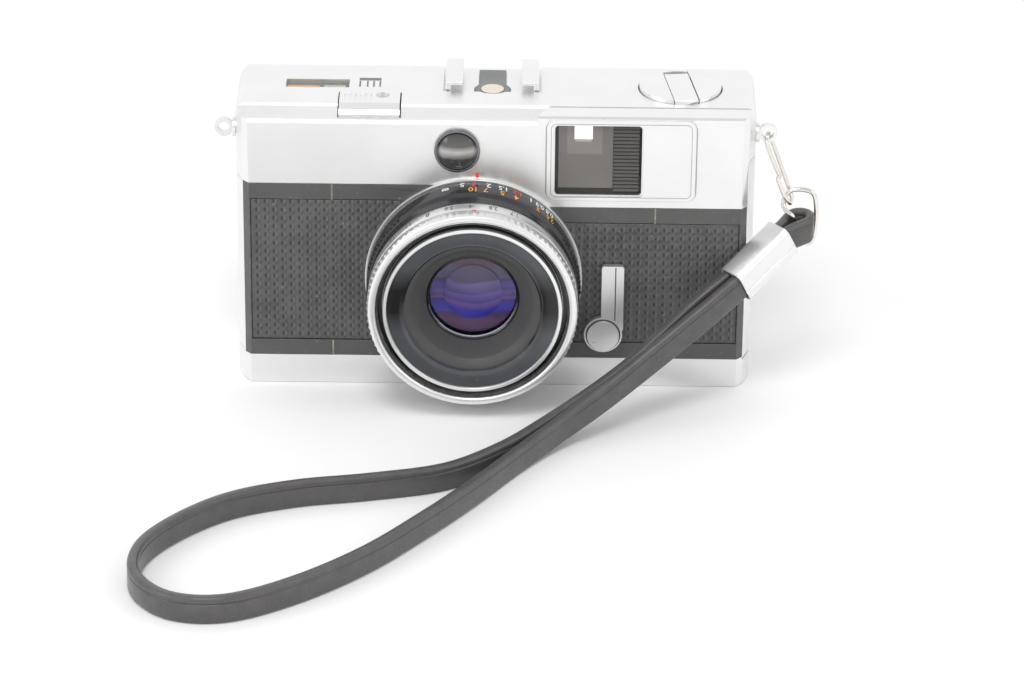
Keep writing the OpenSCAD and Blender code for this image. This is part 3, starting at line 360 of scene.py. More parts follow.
def bent(points, closed=False, steps=6):
    """A smooth curve through the points."""
    pts = [Vector(p) for p in points]
    n = len(pts)
    out = []
    for i in range(n if closed else n - 1):
        a = pts[(i - 1) % n] if closed or i else pts[0] * 2 - pts[1]
        b, c = pts[i], pts[(i + 1) % n]
        d = pts[(i + 2) % n] if closed or i < n - 2 else pts[-1] * 2 - pts[-2]
        for k in range(steps):
            t = k / steps
            out.append(0.5 * (2 * b + (c - a) * t + (2 * a - 5 * b + 4 * c - d) * t * t
                              + (3 * b - a - 3 * c + d) * t ** 3))
    return out if closed else out + [pts[-1]]


def sweep(name, path, section, ref, mat, body, slot, closed=False, **more):
    """A section carried along a path, its pairs measured across it and towards ref; open ends are capped."""
    n, m = len(path), len(section)
    points = []
    for i, p in enumerate(path):
        ahead = path[(i + 1) % n] if closed else path[min(i + 1, n - 1)]
        behind = path[i - 1] if closed else path[max(i - 1, 0)]
        along = (ahead - behind).normalized()
        across = ref.cross(along).normalized()
        upward = along.cross(across)
        points += [p + a * across + b * upward for a, b in section]
    faces = [(i * m + j, (i + 1) % n * m + j, (i + 1) % n * m + (j + 1) % m, i * m + (j + 1) % m)
             for i in range(n if closed else n - 1) for j in range(m)]
    if not closed:
        faces += [tuple(range(m)), tuple((n - 1) * m + j for j in range(m))]
    return make(name, points, faces, mat, body, slot, **more)


def rounded_rectangle(low, high, radius, inset=0.0):
    """Points round a rectangle, seven on each corner, from its upper right one."""
    points = []
    corners = ((high[0] - radius, high[1] - radius), (low[0] + radius, high[1] - radius),
               (low[0] + radius, low[1] + radius), (high[0] - radius, low[1] + radius))
    for quarter, (x, y) in enumerate(corners):
        for k in range(7):
            a = math.radians(90 * quarter + 15 * k)
            points.append((x + (radius - inset) * math.cos(a), y + (radius - inset) * math.sin(a)))
    return points


def circle(r, sides):
    angles = [2 * math.pi * j / sides for j in range(sides)]
    return [(r * math.cos(a), r * math.sin(a)) for a in angles]


def band_faces(rings, sides, rows):
    """Quads between each ring of points and the next, and from the last ring to the first."""
    return [(i * sides + j, i * sides + (j + 1) % sides, (i + 1) % rings * sides + (j + 1) % sides,
             (i + 1) % rings * sides + j) for i in range(rings) for j in range(rows)]


LENS_AXIS = (LENS_X, LENS_Z)


def out_from(axis, r, angle, out):
    """A point at a radius and an angle from the top, clockwise from the front, out from the face."""
    return Vector((axis[0] + r * math.sin(angle), FACE_Y - out, axis[1] + r * math.cos(angle)))


def on_lens(r, angle, out):
    return out_from(LENS_AXIS, r, angle, out)


def lathe(name, profile, mat, body, slot, steps=192, ripple=None, closed=True, axis=LENS_AXIS, **more):
    """A ring or disc turned round an axis along Y.

    profile is (radius, distance in front of the face), closed joins its end to its start, and ripple
    changes the radius with the angle.
    """
    m = len(profile)
    points = []
    for i in range(steps):
        a = 2 * math.pi * i / steps
        for r, out in profile:
            points.append(out_from(axis, r + (ripple(a, r, out) if ripple else 0), a, out))
    faces = band_faces(steps, m, m if closed else m - 1)
    return make(name, points, faces, mat, body, slot, **more)


def box_piece(name, low, high, mat, body, slot, bevel=0.1, **more):
    """A small block with rounded edges."""
    corners = [(x, y, z) for x in (low[0], high[0]) for y in (low[1], high[1]) for z in (low[2], high[2])]
    faces = [(0, 1, 3, 2), (4, 6, 7, 5), (0, 4, 5, 1), (2, 3, 7, 6), (0, 2, 6, 4), (1, 5, 7, 3)]
    obj = make(name, corners, faces, mat, body, slot, **more)
    rounding = obj.modifiers.new("rounded", "BEVEL")
    rounding.width = bevel * MM
    rounding.segments = 3
    return obj


def lettering(name, text, height, place, mat, body, slot, turn=0.0):
    """Flat digits; place maps the text's own x and y, in millimetres, to a point."""
    digit_share, thickening = 0.7, 0.05
    curve = bpy.data.curves.new(name, "FONT")
    curve.body = text
    curve.size = height / digit_share
    curve.offset = thickening
    curve.align_x = "CENTER"
    curve.align_y = "CENTER"
    source = bpy.data.objects.new(name + ".text", curve)
    bpy.context.scene.collection.objects.link(source)
    flat = bpy.data.meshes.new_from_object(source.evaluated_get(bpy.context.evaluated_depsgraph_get()))
    bpy.data.objects.remove(source)
    faces = [tuple(p.vertices) for p in flat.polygons]
    turned = [Matrix.Rotation(turn, 2) @ v.co.xy for v in flat.vertices]
    return make(name, [place(p.x, p.y) for p in turned], faces, mat, body, slot, smooth=False)


# ---- strap ----

def strap_section(t, w, groove):
    """Flat section with rounded edges and a groove near the upper edge of both faces."""
    half_t, half_w = t / 2, w / 2
    edge = [(half_t - 0.55, half_w), (half_t - 0.2, half_w - 0.18), (half_t, half_w - 0.6),
            (half_t, half_w - 1.15), (half_t - groove, half_w - 1.35), (half_t - groove * 0.9, half_w - 1.5),
            (half_t - 0.06, half_w - 1.7), (half_t, half_w - 2.2)]
    face = edge + [(half_t, 0.6 - half_w), (half_t - 0.2, 0.18 - half_w), (half_t - 0.55, -half_w)]
    return face + [(-a, b) for a, b in reversed(face)]


def add_strap():
    """The loop with everything between it and the lug."""
    path = bent(STRAP_ROUTE, steps=8)
    loop = sweep("strap_band", path, strap_section(STRAP_T, STRAP_W, 0.32), UP, VINYL, "body", "strap_vinyl",
                 replaces=["strap_loop"])
    length = sum((b - a).length for a, b in zip(path, path[1:]))
    tab = add_tab()
    clip = sweep("clip_wire", bent(CLIP_PATH, True, 5), circle(0.5, 14), Vector((0.96, 0, 0.27)), NICKEL,
                 "body", "nickel", closed=True, replaces=["strap_clip"])
    ring = sweep("ring_wire", bent(RING_PATH, True, 5), circle(0.55, 14), Vector((0, 1, 0)), NICKEL,
                 "body", "nickel", closed=True, replaces=["strap_ring"])
    ferrule = add_ferrule()


def add_tab():
    """The short strap that comes out of the ferrule, folds round the ring and goes back in."""
    along = (BAR_MIDDLE - FERRULE_A).normalized()
    side = Vector((-along.y, along.x, 0)).normalized()
    turn_r = 2.6
    path = bent([FERRULE_A - along + 1.3 * side, FERRULE_A + 1.5 * along + 1.6 * side], steps=3)[:-1]
    for k in range(13):
        a = math.radians(90 - 15 * k)
        path.append(BAR_MIDDLE + turn_r * (math.cos(a) * along + math.sin(a) * side))
    path += [FERRULE_A + 1.5 * along - 1.6 * side, FERRULE_A - along - 1.3 * side]
    return sweep("strap_tab_band", path, strap_section(2.0, STRAP_W, 0.25), UP, VINYL, "body", "strap_vinyl",
                 replaces=["strap_tab"])


def add_ferrule():
    """A folded sheet sleeve with a seam along its upper face."""
    half_t, half_w, wall = 3.5, 4.0, 0.45
    seam = [(half_t, -1.15), (half_t - 0.22, -1.02), (half_t - 0.22, -0.98), (half_t, -0.85)]
    outer = rounded_rectangle((-half_t, -half_w), (half_t, half_w), 1.5) + seam
    m = len(outer)
    along = (FERRULE_B - FERRULE_A).normalized()
    across = UP.cross(along).normalized()
    upward = along.cross(across)
    length = (FERRULE_B - FERRULE_A).length
    rings = [(0.35, wall), (0.0, wall * 0.8), (-0.12, wall * 0.35), (0.0, 0.0)]
    stations = [(d, inset) for d, inset in rings] + [(length - d, inset) for d, inset in reversed(rings)]
    points = []
    for d, inset in stations:
        k = 1 - inset / half_t
        points += [FERRULE_A + along * d + across * a * k + upward * b * k for a, b in outer]
    return make("ferrule_sleeve", points, band_faces(len(stations), m, m), SILVER, "body", "satin_chrome",
                replaces=["strap_ferrule"])


add_strap()


# ---- leatherette ----

def embossed(x, z):
    """Height of the embossed grid: a low cushion per cell with a small pit in it, in millimetres."""
    u = (x / PITCH_X) % 1 - 0.5
    v = (z / PITCH_Z) % 1 - 0.5
    pit = math.exp(-(((u + 0.04) / 0.17) ** 2 + (v / 0.24) ** 2))
    valley = math.exp(-((abs(u) - 0.5) / 0.1) ** 2) * 0.3 + math.exp(-((abs(v) - 0.5) / 0.12) ** 2) * 0.45
    return -0.34 * pit - 0.12 * valley


# Spacing of the mesh points that carry the emboss
FRONT_GRID, BACK_GRID = 0.27, 0.34


def add_skin(name, node, outward, hole=0.0):
    """A grid over the node's face, pressed by the emboss; outward is -1 for the front, 1 for the back."""
    low, high = span(node)
    base = low.y if outward < 0 else high.y
    pitch = FRONT_GRID if outward < 0 else BACK_GRID
    nx = round((high.x - low.x) / pitch)
    nz = round((high.z - low.z) / pitch)
    points, index = [], {}
    for i in range(nx + 1):
        for k in range(nz + 1):
            x = low.x + (high.x - low.x) * i / nx
            z = low.z + (high.z - low.z) * k / nz
            edge = min(x - low.x, high.x - x, z - low.z, high.z - z)
            rim = 0.18 * max(0.0, 1 - edge / 0.4) ** 2
            index[i, k] = len(points)
            points.append((x, base + outward * (embossed(x, z) * min(1.0, edge / 0.5) - rim), z))
    faces = []
    for i in range(nx):
        for k in range(nz):
            quad = (index[i, k], index[i + 1, k], index[i + 1, k + 1], index[i, k + 1])
            if all(math.hypot(points[q][0] - LENS_X, points[q][2] - LENS_Z) > hole for q in quad):
                faces.append(quad)
    obj = make(name, points, faces, SKIN, "door" if outward > 0 else "body", "leatherette", replaces=[node])
    loose = bmesh.new()
    loose.from_mesh(obj.data)
    bmesh.ops.delete(loose, geom=[v for v in loose.verts if not v.link_faces], context="VERTS")
    loose.to_mesh(obj.data)
    loose.free()
    thick = obj.modifiers.new("sheet", "SOLIDIFY")
    thick.thickness = 0.3 * MM
    thick.offset = -1
    return obj


# Radius round the lens that the front panels leave clear
LENS_HOLE = 23.0

add_skin("skin_left", "leatherette_left", -1, LENS_HOLE)
add_skin("skin_right", "leatherette_right", -1, LENS_HOLE)
add_skin("skin_back", "door_leatherette", 1)


def add_strip_joints():
    """Worn metal showing at the joints between the black border pieces."""
    worn = material("worn_joint", (0.3, 0.28, 0.22), 0.4, 0.5, vary=0.3, blotch=900, bump=0.2)
    low, high = span("front_plate")
    strip = 4.0
    right_top = span("leatherette_right")[1].z + strip
    for side, x, top in (("left", low.x, high.z), ("right", high.x, right_top)):
        for part, z in (("upper", top - strip), ("lower", low.z)):
            box_piece(f"joint_{side}_{part}", (x - 0.12, FACE_Y - 0.02, z),
                      (x + 0.22, FACE_Y + 0.1, z + strip - 0.2), worn, "body", "black_paint", 0.02)


add_strip_joints()


# ---- lens ----

def knurl(teeth, depth, low, high):
    """Radius change of a knurled band between two distances from the face."""
    def ripple(a, r, out):
        return -depth * (0.5 - 0.5 * math.cos(teeth * a)) if low < out < high and r > RING_R - 0.5 else 0
    return ripple


def sheen(name):
    """Glossy slate black with a soft painted sheen in its colour, which fades to near black towards its left
    and right sides.
    """
    m = material(name, (0.07, 0.073, 0.08), 0.16, vary=0.1, blotch=120, bump=0.03, speck=0.15)
    tree = m.node_tree
    base = tree.nodes["Principled BSDF"].inputs["Base Color"]
    # Painted sheen: slate colour above and below the ring's middle, near black beside it
    height = math_node(tree, "SUBTRACT", texture_axes(tree)[1]["Z"], (LENS_Z + 2) * MM)
    fade = remap(tree, math_node(tree, "ABSOLUTE", height), 2.5 * MM, 8 * MM, 0, 1)
    dark = (0.008, 0.008, 0.009)
    tree.links.new(mix_colour(tree, fade, dark, base.links[0].from_socket), base)
    return m


def set_back(out, profile):
    """A profile whose second numbers are measured back from a distance in front of the face."""
    return [(r, out - back) for r, back in profile]


def add_lens():
    """The lens from its front ring inwards, and the figures on its rings."""
    add_front_ring()
    add_name_ring()
    add_cone()
    add_glass()
    add_digits()


def add_front_ring():
    """The knurled ring with the filter thread inside it."""
    wall_r = 21.5
    ring = [(20.4, 3.4), (RING_R - 0.4, 3.4), (RING_R - 0.1, 3.2), (RING_R - 0.1, 2.9), (RING_R + 0.1, 2.8),
            (RING_R + 0.1, 1.9), (RING_R + 0.1, 1.0), (RING_R - 0.15, 0.75), (RING_R - 0.25, 0.35),
            (RING_R - 0.6, 0.08), (RING_R - 1.0, 0), (21.95, 0.04), (21.7, 0.2), (21.55, 0.5), (wall_r, 0.7),
            (wall_r, 3.0), (19.7, 3.0), (19.7, 3.4)]
    teeth = knurl(96, 0.22, FRONT_OUT - 2.85, FRONT_OUT - 0.9)
    lathe("front_ring_knurled", set_back(FRONT_OUT, ring), SILVER, "lens", "satin_chrome", 480, teeth,
          replaces=["front_ring"])
    turns, thread_pitch, crest, root = 6, 0.38, 21.15, 21.45
    thread = [(root, 0.55)]
    for k in range(turns):
        thread += [(crest, 0.75 + thread_pitch * k), (root, 0.94 + thread_pitch * k)]
    thread += [(21.3, 2.98), (20.1, 2.98), (20.1, 3.02), (21.49, 3.02), (21.49, 0.55)]
    lathe("filter_thread_black", set_back(FRONT_OUT, thread), LENS_BLACK, "lens", "lens_black")


def add_name_ring():
    """The plain name ring, the bright ring round it, the wall behind and the gap inside it."""
    rim = FRONT_OUT - 0.35
    wall_foot = rim - 14.9
    trim = [(20.0, 1.2), (20.0, 0.2), (19.85, 0), (19.2, -0.02), (19.05, 0.15), (19.0, 0.6), (19.3, 1.3)]
    plate = [(19.1, 0.4), (18.0, 0.5), (16.4, 0.72), (15.75, 0.85), (15.5, 1.05), (15.5, 1.7), (19.1, 1.7)]
    wall = [(20.0, wall_foot), (20.0, 1.1), (19.0, 1.3), (18.9, wall_foot)]
    gap = [(15.6, 1.4), (15.1, 1.55), (15.1, 1.8), (15.6, 1.8)]
    lathe("bright_trim", set_back(rim, trim), SILVER, "lens", "satin_chrome")
    lathe("name_ring_plate", set_back(rim, plate), sheen("name_ring_black"), "lens", "lens_black",
          replaces=["name_ring"])
    lathe("inner_wall", set_back(rim, wall), RIDGED, "lens", "lens_black")
    lathe("cone_gap", set_back(rim, gap), GLOSS_BLACK, "lens", "lens_black")


def add_cone():
    """Black funnel round the glass, turned with fine grooves."""
    grooves, outer, inner, top, bottom = 26, 15.2, GLASS_R + 0.35, FRONT_OUT - 1.9, 10.6
    step = (outer - inner) / grooves
    profile = []
    for k in range(grooves):
        t = k / grooves
        r = outer - step * k
        out = top + (bottom - top) * (0.25 * t + 0.75 * t * t)
        profile += [(r, out), (r - step * 0.6, out - 0.05)]
    profile += [(inner - 0.05, bottom), (inner - 0.17, bottom + 0.12), (inner - 0.35, bottom + 0.1),
                (inner - 0.35, 9.5), (18.5, 9.5), (18.5, 13.95), (15.2, 14.2)]
    lathe("lens_funnel", profile, RIDGED, "lens", "cast_black", replaces=["front_cone"])


def cap_profile(r, out, bulge, rings=10):
    """Half profile of a shallow dome of radius r whose rim is at out."""
    shares = [1 - k / rings for k in range(rings + 1)]
    return [(max(r * share, 0.01), out + bulge * (1 - share ** 2)) for share in shares]


def coating_and_painted_reflection(name, stops, rough, sag):
    """Coating colour with painted reflections, in soft arcs across an inner lens surface, from its bottom to
    its top.
    """
    m, tree = new_material(name)
    shader = tree.nodes["Principled BSDF"]
    coords, split = texture_axes(tree)
    square = math_node(tree, "POWER", math_node(tree, "SUBTRACT", split["X"], LENS_X * MM), 2)
    sagging = math_node(tree, "MULTIPLY_ADD", square, -sag / MM, split["Z"])
    reach = 10
    height = remap(tree, sagging, (LENS_Z - reach) * MM, (LENS_Z + reach) * MM, 0, 1)
    smear = remap(tree, noise(tree, coords, 260.0), 0.3, 0.7, -0.02, 0.02)
    bands = colour_ramp(tree, math_node(tree, "ADD", height, smear), stops)
    tree.links.new(bands, shader.inputs["Base Color"])
    shader.inputs["Roughness"].default_value = rough
    shader.inputs["Coat Weight"].default_value = 0.3
    return m


def add_glass():
    """The front element, the coloured surfaces behind it with painted reflections, and its seat."""
    lathe("front_glass", cap_profile(GLASS_R, 10.2, 1.3) + [(0.01, 10.0), (GLASS_R, 9.9)],
          COATED_GLASS, "lens", "coated_glass", replaces=["front_element"])
    # The coloured bands on the inner elements are painted reflections in the coatings' colours
    violet = coating_and_painted_reflection("violet_coating_and_reflection", [
        (0.0, (0.07, 0.03, 0.09)), (0.14, (0.12, 0.05, 0.13)), (0.22, (0.05, 0.03, 0.12)),
        (0.25, (0.045, 0.045, 0.46)), (0.38, (0.035, 0.035, 0.4)), (0.4, (0.2, 0.14, 0.3)),
        (0.45, (0.11, 0.09, 0.3)), (0.47, (0.17, 0.15, 0.42)), (0.53, (0.12, 0.1, 0.3)),
        (0.55, (0.15, 0.14, 0.48)), (0.6, (0.13, 0.12, 0.42)), (0.63, (0.1, 0.09, 0.16)),
        (0.66, (0.15, 0.16, 0.24)), (0.8, (0.18, 0.18, 0.24)), (0.83, (0.21, 0.17, 0.18)),
        (1.0, (0.15, 0.12, 0.12))], 0.45, 0.011)
    blue = coating_and_painted_reflection("blue_coating_and_reflection", [
        (0.0, (0.07, 0.05, 0.4)), (0.26, (0.05, 0.05, 0.55)), (0.36, (0.22, 0.16, 0.4)),
        (0.39, (0.12, 0.09, 0.34)), (0.47, (0.19, 0.17, 0.5)), (0.49, (0.13, 0.12, 0.3)),
        (0.6, (0.22, 0.21, 0.44)), (0.63, (0.12, 0.12, 0.2)),
        (0.8, (0.17, 0.18, 0.24)), (1.0, (0.17, 0.15, 0.18))], 0.4, 0.03)
    lathe("inner_element", cap_profile(9.6, 8.2, -1.6), violet, "lens", "coated_glass", closed=False)
    lathe("rear_element", cap_profile(6.6, 7.6, 0.9), blue, "lens", "coated_glass", closed=False)
    add_rim_shine()
    seat = [(GLASS_R + 0.3, 10.75), (GLASS_R, 10.9), (GLASS_R - 0.25, 10.7), (GLASS_R - 0.3, 9.9),
            (GLASS_R + 0.1, 9.8), (GLASS_R + 0.3, 10.0)]
    lathe("glass_seat", seat, GLOSS_BLACK, "lens", "lens_black")


def add_rim_shine():
    """A pale crescent along the lower edge of the glass, where its rim catches the light."""
    steps, start, reach, widest, edge_r = 40, 100, 150, 0.42, GLASS_R - 0.25
    points = []
    for k in range(steps + 1):
        a = math.radians(start + reach * k / steps)
        wide = widest * math.sin(math.pi * k / steps) ** 0.7
        points += [on_lens(edge_r, a, 10.55), on_lens(edge_r - wide, a, 10.62)]
    faces = [(2 * k, 2 * k + 1, 2 * k + 3, 2 * k + 2) for k in range(steps)]
    shine = material("rim_shine", (0.5, 0.52, 0.6), 0.2, vary=0.2, bump=0.0)
    make("glass_rim_shine", points, faces, shine, "lens", "coated_glass")


def focus_radius(out):
    """Radius of the slightly conical focus ring at a distance from the face."""
    foot_r, draft, length = 24.0, 0.1, 5.4
    return foot_r - draft * (out - FOCUS_OUT) / length


def ring_text(name, text, height, angle, out, radius, mat, body, slot, turn=0.0):
    """Narrow digits round a ring, read from behind the camera."""
    start = math.radians(angle)
    width = 0.8 if len(text) < 3 else 0.66

    def place(x, y):
        return on_lens(radius + 0.03, start - x * width / radius, out + y)
    return lettering(name, text, height, place, mat, body, slot, turn)


def add_digits():
    """Distances in metres and feet, each with its angle, and the stops; a lying 8 stands for infinity."""
    metres = [("8", -15.6), ("5", -6.3), ("3", 0), ("2", 7.9), ("1.5", 15.9), ("1.2", 24), ("1", 32),
              ("0.9", 37.7), ("0.8", 44.6)]
    feet = [("10", -0.25), ("7", 6.4), ("5", 15.4), ("4", 23.4), ("3", 36.8), ("2.6", 45.2)]
    row_m, row_ft, row_stops = FOCUS_OUT + 1.35, FOCUS_OUT + 3.75, APERTURE_OUT + 1.5
    focus_height, stop_height, first_stop, stop_step = 2.0, 1.75, 23, 12.1
    for i, (text, angle) in enumerate(metres):
        ink = RED_INK if text in ("3", "1.2") else WHITE_INK
        out, turn = (row_m + 1.1, math.pi / 2) if i == 0 else (row_m, 0)
        ring_text(f"metre_mark_{i}", text, focus_height, angle, out, focus_radius(row_m), ink, "focus",
                  "lens_black", turn)
    for i, (text, angle) in enumerate(feet):
        ring_text(f"feet_mark_{i}", text, focus_height, angle, row_ft, focus_radius(row_ft), ORANGE_INK,
                  "focus", "lens_black")
    for i, text in enumerate(["1.7", "2.8", "4", "5.6", "8", "11", "16"]):
        ring_text(f"stop_mark_{i}", text, stop_height, first_stop - stop_step * i, row_stops, RING_R,
                  GREY_INK, "aperture", "satin_chrome")


def add_index_marks():
    """Red index ticks on the cover above the flange and on the front ring."""
    top = flange_high.z
    box_piece("distance_index", (LENS_X + 0.35, FACE_Y - 0.05, top + 0.15),
              (LENS_X + 1.05, FACE_Y, top + 1.4), RED_INK, "body", "lens_black", 0.01)
    dot = on_lens(RING_R + 0.06, math.radians(0.5), FRONT_OUT - 3.05)
    box_piece("stop_index", dot - Vector((0.5, 0.2, 0.15)), dot + Vector((0.5, 0.2, 0.03)), RED_INK, "lens",
              "lens_black", 0.02)


def add_grips():
    """Fine ribs along the focus ring on both sides of its scales."""
    foot_r, crest_r = 23.9, 24.12
    section = ((foot_r, -0.8), (crest_r, -0.4), (crest_r, 0.4), (foot_r, 0.8))
    for side, angles in (("left", range(-78, -42, 3)), ("right", range(58, 94, 3))):
        points, faces = [], []
        for angle in angles:
            n = len(points)
            for out in (FOCUS_OUT + 4.6, FOCUS_OUT + 5.8):
                points += [on_lens(r, math.radians(angle + turn), out) for r, turn in section]
            faces += [(n, n + 1, n + 2, n + 3), (n + 4, n + 7, n + 6, n + 5)]
            faces += [(n + j, n + 4 + j, n + 4 + (j + 1) % 4, n + (j + 1) % 4) for j in range(4)]
        make(f"focus_grip_{side}", points, faces, LENS_BLACK, "focus", "lens_black", smooth=False)


add_lens()
add_index_marks()
add_grips()


# ---- finder and meter ----

def plate_with_hole(name, low, high, hole_low, hole_high, y, mat, slot):
    """A flat plate in x and z with a rectangular hole."""
    outer = [(low[0], low[1]), (high[0], low[1]), (high[0], high[1]), (low[0], high[1])]
    inner = [(hole_low[0], hole_low[1]), (hole_high[0], hole_low[1]), (hole_high[0], hole_high[1]),
             (hole_low[0], hole_high[1])]
    points = [(x, y + d, z) for d in (0, 0.15) for x, z in outer + inner]
    faces = []
    for j in range(4):
        k = (j + 1) % 4
        faces += [(j, k, k + 4, j + 4), (8 + j, 12 + j, 12 + k, 8 + k), (j, 8 + j, 8 + k, k),
                  (4 + j, 4 + k, 12 + k, 12 + j)]
    return make(name, points, faces, mat, "body", slot, smooth=False)


# Left and right edge and foot of the plate seen inside the finder
INNER_X = (15.9, 23.7)
INNER_Z = 57.2

# Where the finder ends and the ribbed panel begins, and the panel's right edge
FINDER_RIGHT = 26.1
RIBS_RIGHT = 31.9


def add_finder():
    """The masks, the inner plate and the bright eyepiece opening seen through the window, painted as a
    glowing plate.
    """
    low, high = span("finder_window")
    top = high.z - 0.15
    plate_with_hole("finder_mask", (low.x + 0.75, low.z + 1.3), (FINDER_RIGHT, top), (INNER_X[0], INNER_Z),
                    (INNER_X[1], top), FACE_Y + 0.75, GREY, "black_plastic")
    plate_with_hole("finder_side", (low.x, low.z), (FINDER_RIGHT + 0.05, high.z), (low.x + 0.7, low.z + 1.2),
                    (FINDER_RIGHT, high.z - 0.05), FACE_Y + 0.68, PLASTIC, "black_plastic")
    # Painted light: a glowing plate stands for the daylight seen through the eyepiece
    light = material("finder_light", (0.95, 0.95, 0.95), 0.4, vary=0.02, bump=0.0,
                     Emission_Color=(1, 1, 1, 1), Emission_Strength=0.9)
    for name, x_range, depth, z_low, z_high, mat, slot in (
            ("finder_inner_plate", INNER_X, 0.69, INNER_Z, top, PALE_GREY, "black_plastic"),
            ("finder_light", (17.5, 21.5), 0.62, 60.8, high.z - 0.05, light, "dark_glass"),
            ("finder_ledge", (17.7, 21.3), 0.62, 60.3, 60.55, WHITE_INK, "dark_glass")):
        y = FACE_Y + depth
        box_piece(name, (x_range[0], y, z_low), (x_range[1], y + 0.05, z_high), mat, "body", slot, 0.01)
    add_ribs(low.z + 0.3, high.z - 0.3)


def add_ribs(z_low, z_high):
    """The ribbed light panel: the upper slopes of its ribs, in a paler black as painted light, and the darker
    lower ones, as painted shade.
    """
    ribs, crest, root = 18, 0.35, 0.62
    half_step = (z_high - z_low) / ribs / 2
    # Upward slopes get the paler black and downward slopes the darker one: painted light and shade
    for name, mat, first in (("finder_ribs", RIB_BLACK_LIT, 1), ("finder_rib_shaded_slopes", PLASTIC, 0)):
        points, faces = [], []
        for i in range(first, ribs * 2, 2):
            for k in (i, i + 1):
                y = FACE_Y + (crest if k % 2 else root)
                points += [(x, y, z_low + half_step * k) for x in (FINDER_RIGHT + 0.1, RIBS_RIGHT)]
            n = len(points)
            faces.append((n - 4, n - 3, n - 1, n - 2))
        make(name, points, faces, mat, "body", "black_plastic", smooth=False)


def outline(name, low, high, radius, width, y, mat, slot):
    """A thin line round a rectangle with rounded corners, on the front face."""
    edges = zip(rounded_rectangle(low, high, radius), rounded_rectangle(low, high, radius, width))
    points = [(x, y, z) for pair in edges for x, z in pair]
    n = len(points)
    faces = [(i, i + 1, (i + 3) % n, (i + 2) % n) for i in range(0, n, 2)]
    make(name, points, faces, mat, "body", slot, smooth=False)


def add_frame_lines():
    """The shadow line painted round the raised finder frame and a painted shade line along the crest of its
    rim.
    """
    low, high = span("finder_frame")
    shadow = material("edge_shadow", (0.42, 0.43, 0.43), 0.5, 0.5, vary=0.1, bump=0.05)
    outline("frame_shadow_line", (low.x - 0.3, low.z - 0.35), (high.x + 0.3, high.z - 0.1), 2.3, 0.28,
            FACE_Y - 0.03, shadow, "satin_silver")
    outline("frame_inner_shade_line", (low.x + 0.85, low.z + 0.75), (high.x - 0.85, high.z - 0.75), 1.3, 0.16,
            low.y - 0.02, shadow, "satin_silver")


def add_meter():
    """The domed window over the meter's cell."""
    low, high = span("meter_dome")
    centre = (low + high) / 2
    profile = cap_profile((high.x - low.x) / 2, 0.2, 1.75, 14)
    lathe("meter_dome_shell", profile, glass_with_painted_reflection("meter_dome_glass", centre.z), "body", "dark_glass", 72,
          closed=False, axis=(centre.x, centre.z), replaces=["meter_dome"])


def glass_with_painted_reflection(name, middle_z):
    """Dark glass with a paler level band across its middle, a painted reflection."""
    m, tree = new_material(name)
    shader = tree.nodes["Principled BSDF"]
    coords, split = texture_axes(tree)
    reach = 4.4
    height = remap(tree, split["Z"], (middle_z - reach) * MM, (middle_z + reach) * MM, 0, 1)
    # Painted reflection: a paler grey band across the dome's middle
    greys = [(0.0, 0.07), (0.3, 0.06), (0.36, 0.2), (0.52, 0.42), (0.66, 0.1), (1.0, 0.03)]
    bands = colour_ramp(tree, height, [(at, (grey, grey * 0.98, grey * 0.95)) for at, grey in greys])
    tree.links.new(bands, shader.inputs["Base Color"])
    speckle = remap(tree, noise(tree, coords, 1500.0), 0.3, 0.7, 0.06, 0.16)
    tree.links.new(speckle, shader.inputs["Roughness"])
    shader.inputs["Coat Weight"].default_value = 0.6
    return m


def add_deck_marks():
    """The counter's printed bars, and the index line and ticks printed beside its window."""
    low, high = span("counter_window")
    foot = low.z - 0.13
    bar_y = low.y + 1.8
    bar_low, bar_high = foot + 0.06, foot + 0.1
    box_piece("counter_bar_dark", (low.x, low.y, foot), (high.x, high.y, foot + 0.05), SLATE, "body",
              "dial_plastic", 0.01)
    for name, x_low, x_high, width, mat in (("counter_bar_orange", low.x + 0.3, low.x + 7.4, 1.2, ORANGE_INK),
                                            ("counter_bar_grey", low.x + 8.4, high.x - 0.8, 1.4, PALE_METAL)):
        box_piece(name, (x_low, bar_y, bar_low), (x_high, bar_y + width, bar_high), mat, "body",
                  "dial_plastic", 0.01)

    tick_x = (-30.6, -28.9, -27.5, -26.1)
    half_line = 0.2
    marks = [(f"index_tick_{i}", x - half_line, x + half_line, 8.4, 11.6) for i, x in enumerate(tick_x)]
    marks.append(("index_bar", tick_x[0] - half_line, tick_x[-1] + half_line, 11.9, 13.3))
    for name, x_low, x_high, y_low, y_high in marks:
        box_piece(name, (x_low, y_low, DECK_Z - 0.01), (x_high, y_high, DECK_Z + 0.03), GREY_INK, "body",
                  "black_paint", 0.01)


def add_timer_marks():
    """Painted shade for the groove along the self-timer lever and for the line round its cap."""
    low, high = span("self_timer_lever")
    cap_low, cap_high = span("self_timer_cap")
    centre = (cap_low + cap_high) / 2
    radius = (cap_high.x - cap_low.x) / 2
    groove_x = 27.1
    box_piece("timer_groove_shade", (groove_x, low.y - 0.02, centre.z + radius),
              (groove_x + 0.25, low.y + 0.1, high.z - 0.25), SHADE_LINE, "self_timer", "satin_silver", 0.01)
    out = FACE_Y - low.y + 0.03
    line = [(radius + 0.32, out), (radius - 0.05, out)]
    lathe("timer_cap_shade_line", line, SHADE_LINE, "self_timer", "satin_silver", 96, closed=False,
          axis=(centre.x, centre.z), smooth=False)


add_finder()
add_frame_lines()
add_meter()
add_deck_marks()
add_timer_marks()


# ---- finishes of the CAD pieces ----

